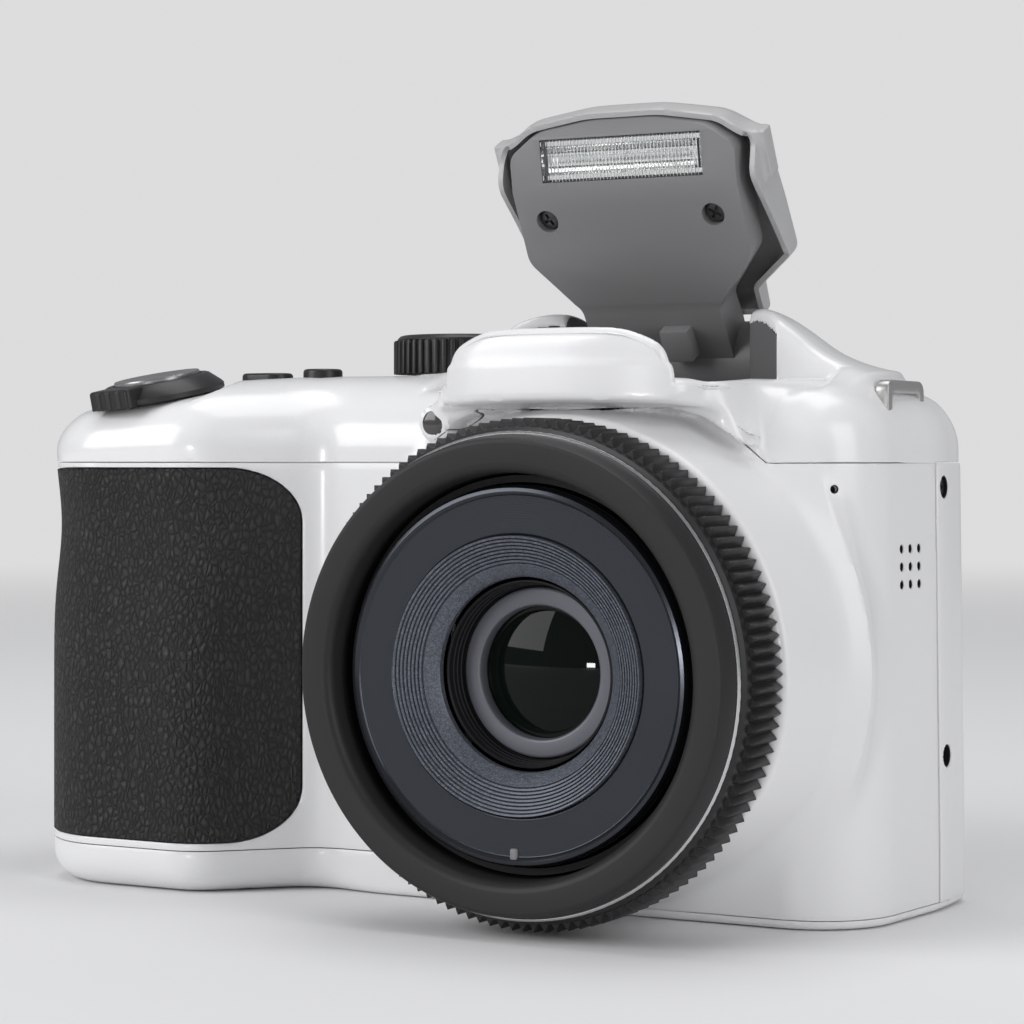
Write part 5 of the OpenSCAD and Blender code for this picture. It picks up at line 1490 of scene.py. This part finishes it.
@dataclass
class TopControls:
    """Zoom lever, shutter button, mode dial, top buttons, focus lamp and strap loops."""

    form: BodyForm
    lever_r: float = 8.6
    button_r: float = 5.7
    lever_h: float = 2.6
    tab_turn: float = 260.0
    shutter_tilt: tuple = (-5.0, 10.0)
    dial: tuple = (-31.0, 4.0, 66.8, 9.0, 5.2)

    def at_shutter(self) -> Matrix:
        """Gives the tilted frame of the shutter button."""
        roll, pitch = (Matrix.Rotation(math.radians(by), 4, axis) for by,
                       axis in zip(self.shutter_tilt, "YX"))
        return Matrix.Translation(self.form.shutter_at) @ roll @ pitch

    def lever(self) -> None:
        """Builds the zoom lever with its ribbed tab."""
        r, h = self.lever_r, self.lever_h
        ring = turned([(2.5, 0.6), (2.5, -4.4), (3.4, -4.4), (3.4, 0.1), (r - 0.5, 0.1), (r, 0.3), (r, 0.9),
                       (r - 0.3, 1.25), (r - 1.7, h - 0.12), (r - 2.0, h),
                       (self.button_r + 0.25, h), (self.button_r + 0.2, h - 0.1), (self.button_r + 0.2, 0.6),
                       (2.5, 0.6)], 128)
        tab = slab(rounded([(r + 0.9, 3.6, 0.8), (r - 2.4, 3.6, 0.4), (r - 2.4, -3.6, 0.4),
                            (r + 0.9, -3.6, 0.8)], 6), 0.1, h, 0.4, 3)
        notches = [put(turned([(0, -1), (0.6, -1), (0.6, 4), (0, 4)], 24),
                       Matrix.Translation((r + 1.2, i * 1.8, 0))) for i in (-1.5, -0.5, 0.5, 1.5)]
        combine(tab, notches, "DIFFERENCE")
        put(tab, Matrix.Rotation(math.radians(self.tab_turn), 4, "Z"))
        piece = put(gathered([ring, tab]), self.at_shutter())
        seat(piece, "lever_ring", "zoom_lever", DARK_SATIN, "zoom_lever", slot="dark_satin")

    def shutter(self) -> None:
        """Builds the dished shutter button."""
        r, top = self.button_r, self.lever_h + 0.5
        dish = [(r * 0.93 * s, top - 0.5 * (1 - s * s)) for s in np.linspace(0, 1, 10)]
        wall = [(r - 0.12, top - 0.02), (r, top - 0.2), (r, 1.8), (2.3, 1.8), (2.3, -4.9), (0, -4.9)]
        piece = put(turned(dish + wall, 96), self.at_shutter())
        seat(piece, "shutter_cap", "shutter_button", DISH, "shutter_button", slot="dark_satin")

    def mode(self) -> None:
        """Builds the ribbed dial with ticks on its face."""
        x, y, z, r, h = self.dial
        around = []
        teeth = 48
        for i in range(teeth):
            for share, out in ((-0.36, r - 0.45), (-0.22, r - 0.05), (-0.14, r), (0.14, r), (0.22, r - 0.05),
                               (0.36, r - 0.45)):
                turn = 2 * math.pi * (i + share) / teeth
                around.append((out * math.cos(turn), out * math.sin(turn)))
        knob = slab(around, 0.05, h - 0.7, 0.25, 2)
        face = turned([(0, h - 1), (r - 0.5, h - 1), (r - 0.5, h - 0.5), (r - 0.9, h - 0.1), (r - 1.3, h),
                       (r - 1.6, h - 0.05), (r - 1.8, h - 0.3), (0, h - 0.3)], 96)
        shaft = turned([(0, -6), (2.4, -6), (2.4, 0.1), (0, 0.1)], 48)
        place = Matrix.Translation((x, y, z))
        seat(put(gathered([knob, face, shaft]), place), "dial_knob", "mode_dial", DARK_SATIN, "mode_dial",
             slot="dark_satin")
        ticks = []
        for i in range(10):
            tick = block((5.2, -0.16, h - 0.34), (6.6 if i else 6.9, 0.16, h - 0.26), 0.03, 1)
            ticks.append(put(tick, Matrix.Rotation(2 * math.pi * i / 10, 4, "Z")))
        dot = turned([(0, h - 0.34), (0.5, h - 0.34), (0.5, h - 0.27), (0.4, h - 0.25), (0, h - 0.25)], 24)
        ticks.append(put(dot, Matrix.Translation((0, -3.6, 0))))
        seat(put(gathered(ticks), place), "dial_ticks", "mode_dial", PEARL_GREY, slot="pearl_grey")

    def buttons(self) -> None:
        """Builds the two buttons between the dial and the lever."""
        for name, at, w, l, proud in (("drive_button", (-54, -8), 7.2, 4.6, 0.5),
                                      ("power_button", (-46.2, -6.5), 5.2, 5.2, 1.0)):
            cap = slab(box_outline(w, l, min(w, l) / 2 - 0.02, at, 14), 62.5, 66.5 + proud, 0.45, 4)
            seat(cap, name + "_cap", name, DARK_SATIN, name, slot="dark_satin")

    def lamp(self) -> None:
        """Builds the focus lamp's dark lens."""
        dome = [(1.6 * math.cos(a), 0.15 + 0.3 * math.sin(a)) for a in np.linspace(0, math.pi / 2, 8)]
        lens = put(turned([(0, -1.2), (1.6, -1.2)] + dome, 48), Axis.AHEAD.matrix(self.form.lamp_at))
        seat(lens, "lamp_lens", "camera_body", LAMP_GLASS, "af_lamp_lens", slot="lamp_red")

    def loops(self) -> None:
        """Builds the two strap loops from bent bar."""
        made = []
        for x in (32.2, -76.4):
            low = 59.736
            outer = rounded([(6.2, 0, 0.3), (6.2, 5.4, 1.5), (-6.2, 5.4, 1.5), (-6.2, 0, 0.3)], 8)
            inner = rounded([(4.6, -1, 0.2), (4.6, 3.8, 0.6), (-4.6, 3.8, 0.6), (-4.6, -1, 0.2)], 8)
            loop = slab(outer, -0.9, 0.9)
            combine(loop, [slab(inner, -3, 3)], "DIFFERENCE")
            soften(loop, 0.35, 3, 40)
            turn = Matrix(((0, 0, 1, x), (1, 0, 0, 1.4), (0, 1, 0, low), (0, 0, 0, 1)))
            made.append(put(loop, turn))
        seat(gathered(made), "strap_bars", "camera_body", LUG, "strap_lugs", slot="bright_metal")

    def build(self) -> None:
        """Builds and dresses the top's pieces."""
        self.lever()
        self.shutter()
        self.mode()
        self.buttons()
        self.lamp()
        self.loops()


@dataclass
class BackPanel:
    """Screen and keys on the back."""

    face: float = 17.0
    step: float = 0.5
    keys: tuple = (("record_button", -47.5, 48.6, KEY_RED), ("menu_button", -47.5, 42, GREY_SATIN),
                   ("play_button", -68.5, 42, GREY_SATIN),
                   ("erase_button", -47.5, 17.5, GREY_SATIN), ("info_button", -68.5, 17.5, GREY_SATIN))
    pad: tuple = (-58.0, 30.0, 9.5, 3.9)

    def build(self) -> None:
        """Builds and dresses the back's pieces."""
        out = self.face + self.step
        pane = slab(box_outline(63.8, 46.3, 1.9, (0, 28.85), 8), 0, 2.2, 0.3, 3)
        put(pane, Matrix(((1, 0, 0, 0), (0, 0, 1, out - 2.4), (0, 1, 0, 0), (0, 0, 0, 1))))
        edit(pane)
        close(pane)
        seat(pane, "screen_pane", "camera_body", SCREEN, "screen_window", slot="screen_black")
        for name, x, z, finish in self.keys:
            r = 2.6
            cap = turned([(0, -2.4), (r, -2.4), (r, 1.0), (r - 0.1, 1.2), (r - 0.4, 1.3), (r - 0.9, 1.24),
                          (0, 1.2)], 64)
            seat(put(cap, Axis.BACK.matrix((x, self.face, z))), name + "_cap", name, finish, name,
                 slot="grey_satin")
        x, z, r, hole = self.pad
        ring = turned([(hole + 0.1, -2.0), (r, -2.0), (r, 1.1), (r - 0.15, 1.35), (r - 0.5, 1.48),
                       (r - 1.2, 1.4), (hole + 1.2, 0.95), (hole + 0.25, 0.9),
                       (hole + 0.1, 0.75), (hole + 0.1, -2.0)], 96)
        marks = []
        for i in range(4):
            mark = block((6.4, -0.7, 1.1), (6.75, 0.7, 1.36), 0.05, 1)
            marks.append(put(mark, Matrix.Rotation(math.pi / 2 * i, 4, "Z")))
        at = Axis.BACK.matrix((x, self.face, z))
        seat(put(ring, at), "pad_ring", "four_way_pad", GREY_SATIN, "four_way_pad", slot="grey_satin")
        seat(put(gathered(marks), at), "pad_marks", "four_way_pad", PEARL_GREY, slot="pearl_grey")
        cap = turned([(0, -2.4), (hole, -2.4), (hole, 1.05), (hole - 0.12, 1.28), (hole - 0.4, 1.38),
                      (hole - 1.0, 1.3), (0, 1.25)], 64)
        seat(put(cap, at), "ok_cap", "ok_button", GREY_SATIN, "ok_button", slot="grey_satin")


@dataclass
class SidesAndBase:
    """Port cover, battery door and latch."""

    def build(self) -> None:
        """Builds and dresses the sides' and the base's pieces."""
        cover = block((-80.5, 5.25, 24.05), (-79.1, 10.55, 39.95), 0.25, 3)
        seat(cover, "port_flap", "port_cover", WHITE_SHELL, "port_cover", slot="white_shell")
        front, back = -21.45, 10.65
        door = block((-70.55, front, 0.0), (-50.0, back, 1.8), 0.3, 3)
        barrel = put(turned([(0.7, 0), (1.15, 0.0), (1.15, back - front), (0.7, back - front), (0.7, 0)], 40),
                     Axis.BACK.matrix((-49.2, front, 1.25)))
        link = block((-51.5, front, 0.12), (-49.6, back, 1.78), 0.1, 1)
        combine(door, [block((-68.6, -8.0, -1), (-59.6, -2.8, 0.8))], "DIFFERENCE")
        seat(gathered([door, link, barrel]), "battery_lid", "battery_door", WHITE_SHELL, "battery_door",
             slot="white_shell")
        latch = block((-68.35, -7.6, 0.15), (-62.75, -3.2, 0.75), 0.12, 2)
        grooves = [block((-68.35 + i * 1.12, -7.0, -1), (-67.95 + i * 1.12, -3.8, 0.4)) for i in range(1, 5)]
        combine(latch, grooves, "DIFFERENCE")
        seat(latch, "latch_slide", "battery_latch", GREY_SATIN, "battery_latch", slot="grey_satin")


@dataclass
class Inside:
    """CAD nodes that keep their shape and get a finish."""

    finishes: dict = field(default_factory=lambda: {
        GREY_SATIN: ("flash_well",),
        BRIGHT: ("flash_hinge_pin", "door_pin", "tripod_socket", "usb_port", "card_slot"),
        INNER_BLACK: ("lens_guide", "rear_barrel", "shutter_unit", "sensor_plate", "zoom_motor",
                      "battery_bay", "speaker", "microphone", "flash_capacitor"),
        MIRROR: ("flash_reflector",),
        CLEAR: ("flash_tube",),
        LENS_CLEAR: ("middle_element", "rear_element"),
        SCREEN: ("image_sensor", "screen_panel"),
        BOARD: ("main_board",),
        STEEL: ("body_screws",),
        PALE_BATTERY: ("battery",),
    })

    def build(self) -> None:
        """Dresses the nodes."""
        for finish, names in self.finishes.items():
            for name in names:
                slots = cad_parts[name].data.materials
                slots.clear()
                slots.append(finish.material())
                LOG.info("%s: CAD node in %s", name, finish.name)


@dataclass
class Studio:
    """Floor, light and camera."""

    eye: tuple = (0.1545, -0.322, 0.0558)
    turn: float = 28.6
    focal: float = 98.44
    shift: float = -0.0537
    ground: tuple = (0.72, 0.72, 0.725)
    aim: tuple = (-0.015, -0.01, 0.045)
    glow: float = 0.27
    sensor: float = 36.0
    near: float = 0.01
    lamps: tuple = (("key", (-0.75, -0.85, 0.55), (0.7, 0.8), 8), ("fill", (1.0, -0.35, 0.4), (0.5, 0.9), 4),
                    ("top", (0.0, 0.1, 1.1), (0.9, 0.6), 5), ("glint", (0.07, -1.2, 0.04), (0.1, 0.05), 1.3))

    def floor(self) -> None:
        """Lays a round pale floor that fades into the ground seen behind it."""
        deselect()
        bpy.ops.mesh.primitive_circle_add(vertices=128, radius=3, fill_type="NGON")
        obj = bpy.context.object
        obj.name = "floor"
        edit(obj)
        bpy.ops.mesh.inset(thickness=0.5)
        bpy.ops.object.mode_set(mode="OBJECT")
        graph = Graph("pale_floor")
        tone = graph.mix(graph.noise(300.0, 2.0), (0.79, 0.79, 0.795), (0.82, 0.82, 0.825))
        graph.shade(Base_Color=tone, Roughness=0.8, Specular_IOR_Level=0.1)
        away = graph.node("ShaderNodeVectorMath", {"operation": "LENGTH"},
                          {0: graph.node("ShaderNodeNewGeometry")}, 1)
        fade = graph.node("ShaderNodeMapRange", {"interpolation_type": "SMOOTHSTEP"},
                          {0: away, 1: 0.3, 2: 1.2, 3: 0.0, 4: 1.0})
        seen = graph.node("ShaderNodeLightPath") * fade
        glow = graph.node("ShaderNodeEmission", None, {0: (*self.ground, 1.0)})
        blend = graph.node("ShaderNodeMixShader", None, {0: seen, 2: glow})
        graph.tree.links.new(graph.shader.outputs[0], blend.out.node.inputs[1])
        graph.tree.links.new(blend.out, graph.out.inputs[0])
        obj.data.materials.append(graph.material)

    def lamp(self, name: str, at: Sequence[float], size: Pair, power: float) -> None:
        """Hangs one soft area lamp that faces the camera's lens."""
        data = bpy.data.lights.new(name, "AREA")
        data.shape = "RECTANGLE"
        data.size, data.size_y = size
        data.energy = power
        obj = bpy.data.objects.new(name, data)
        obj.location = at
        aim = Vector(self.aim) - Vector(at)
        obj.rotation_euler = aim.to_track_quat("-Z", "Y").to_euler()
        bpy.context.collection.objects.link(obj)

    def world(self) -> None:
        """Lights the scene softly and shows a pale ground to the camera."""
        world = bpy.data.worlds.new("studio")
        world.use_nodes = True
        tree = world.node_tree
        tree.nodes.clear()
        rays = tree.nodes.new("ShaderNodeLightPath")
        soft, seen, blend, out = (tree.nodes.new(k) for k in ("ShaderNodeBackground", "ShaderNodeBackground",
                                                              "ShaderNodeMixShader", "ShaderNodeOutputWorld"))
        soft.inputs["Color"].default_value = (0.95, 0.97, 1.0, 1)
        soft.inputs["Strength"].default_value = self.glow
        seen.inputs["Color"].default_value = (*self.ground, 1)
        tree.links.new(rays.outputs["Is Camera Ray"], blend.inputs[0])
        tree.links.new(soft.outputs[0], blend.inputs[1])
        tree.links.new(seen.outputs[0], blend.inputs[2])
        tree.links.new(blend.outputs[0], out.inputs[0])
        bpy.context.scene.world = world

    def build(self) -> None:
        """Builds the studio and sets the camera."""
        self.floor()
        self.world()
        for row in self.lamps:
            self.lamp(*row)
        data = bpy.data.cameras.new("view")
        data.lens = self.focal
        data.sensor_width = self.sensor
        data.shift_y = self.shift
        data.clip_start = self.near
        obj = bpy.data.objects.new("view", data)
        obj.location = self.eye
        obj.rotation_euler = (math.pi / 2, 0, math.radians(self.turn))
        bpy.context.collection.objects.link(obj)
        scene = bpy.context.scene
        scene.camera = obj
        scene.view_settings.view_transform = "Standard"


def main() -> None:
    """Builds the classes in order."""
    logging.basicConfig(level=logging.INFO, format="%(message)s")
    form = BodyForm()
    for part in (Casing(form), Lens(), FlashHead(), TopControls(form), BackPanel(), SidesAndBase(), Inside(),
                 Studio()):
        part.build()
        LOG.info("%s done", type(part).__name__)


if __name__ == "__main__":
    main()
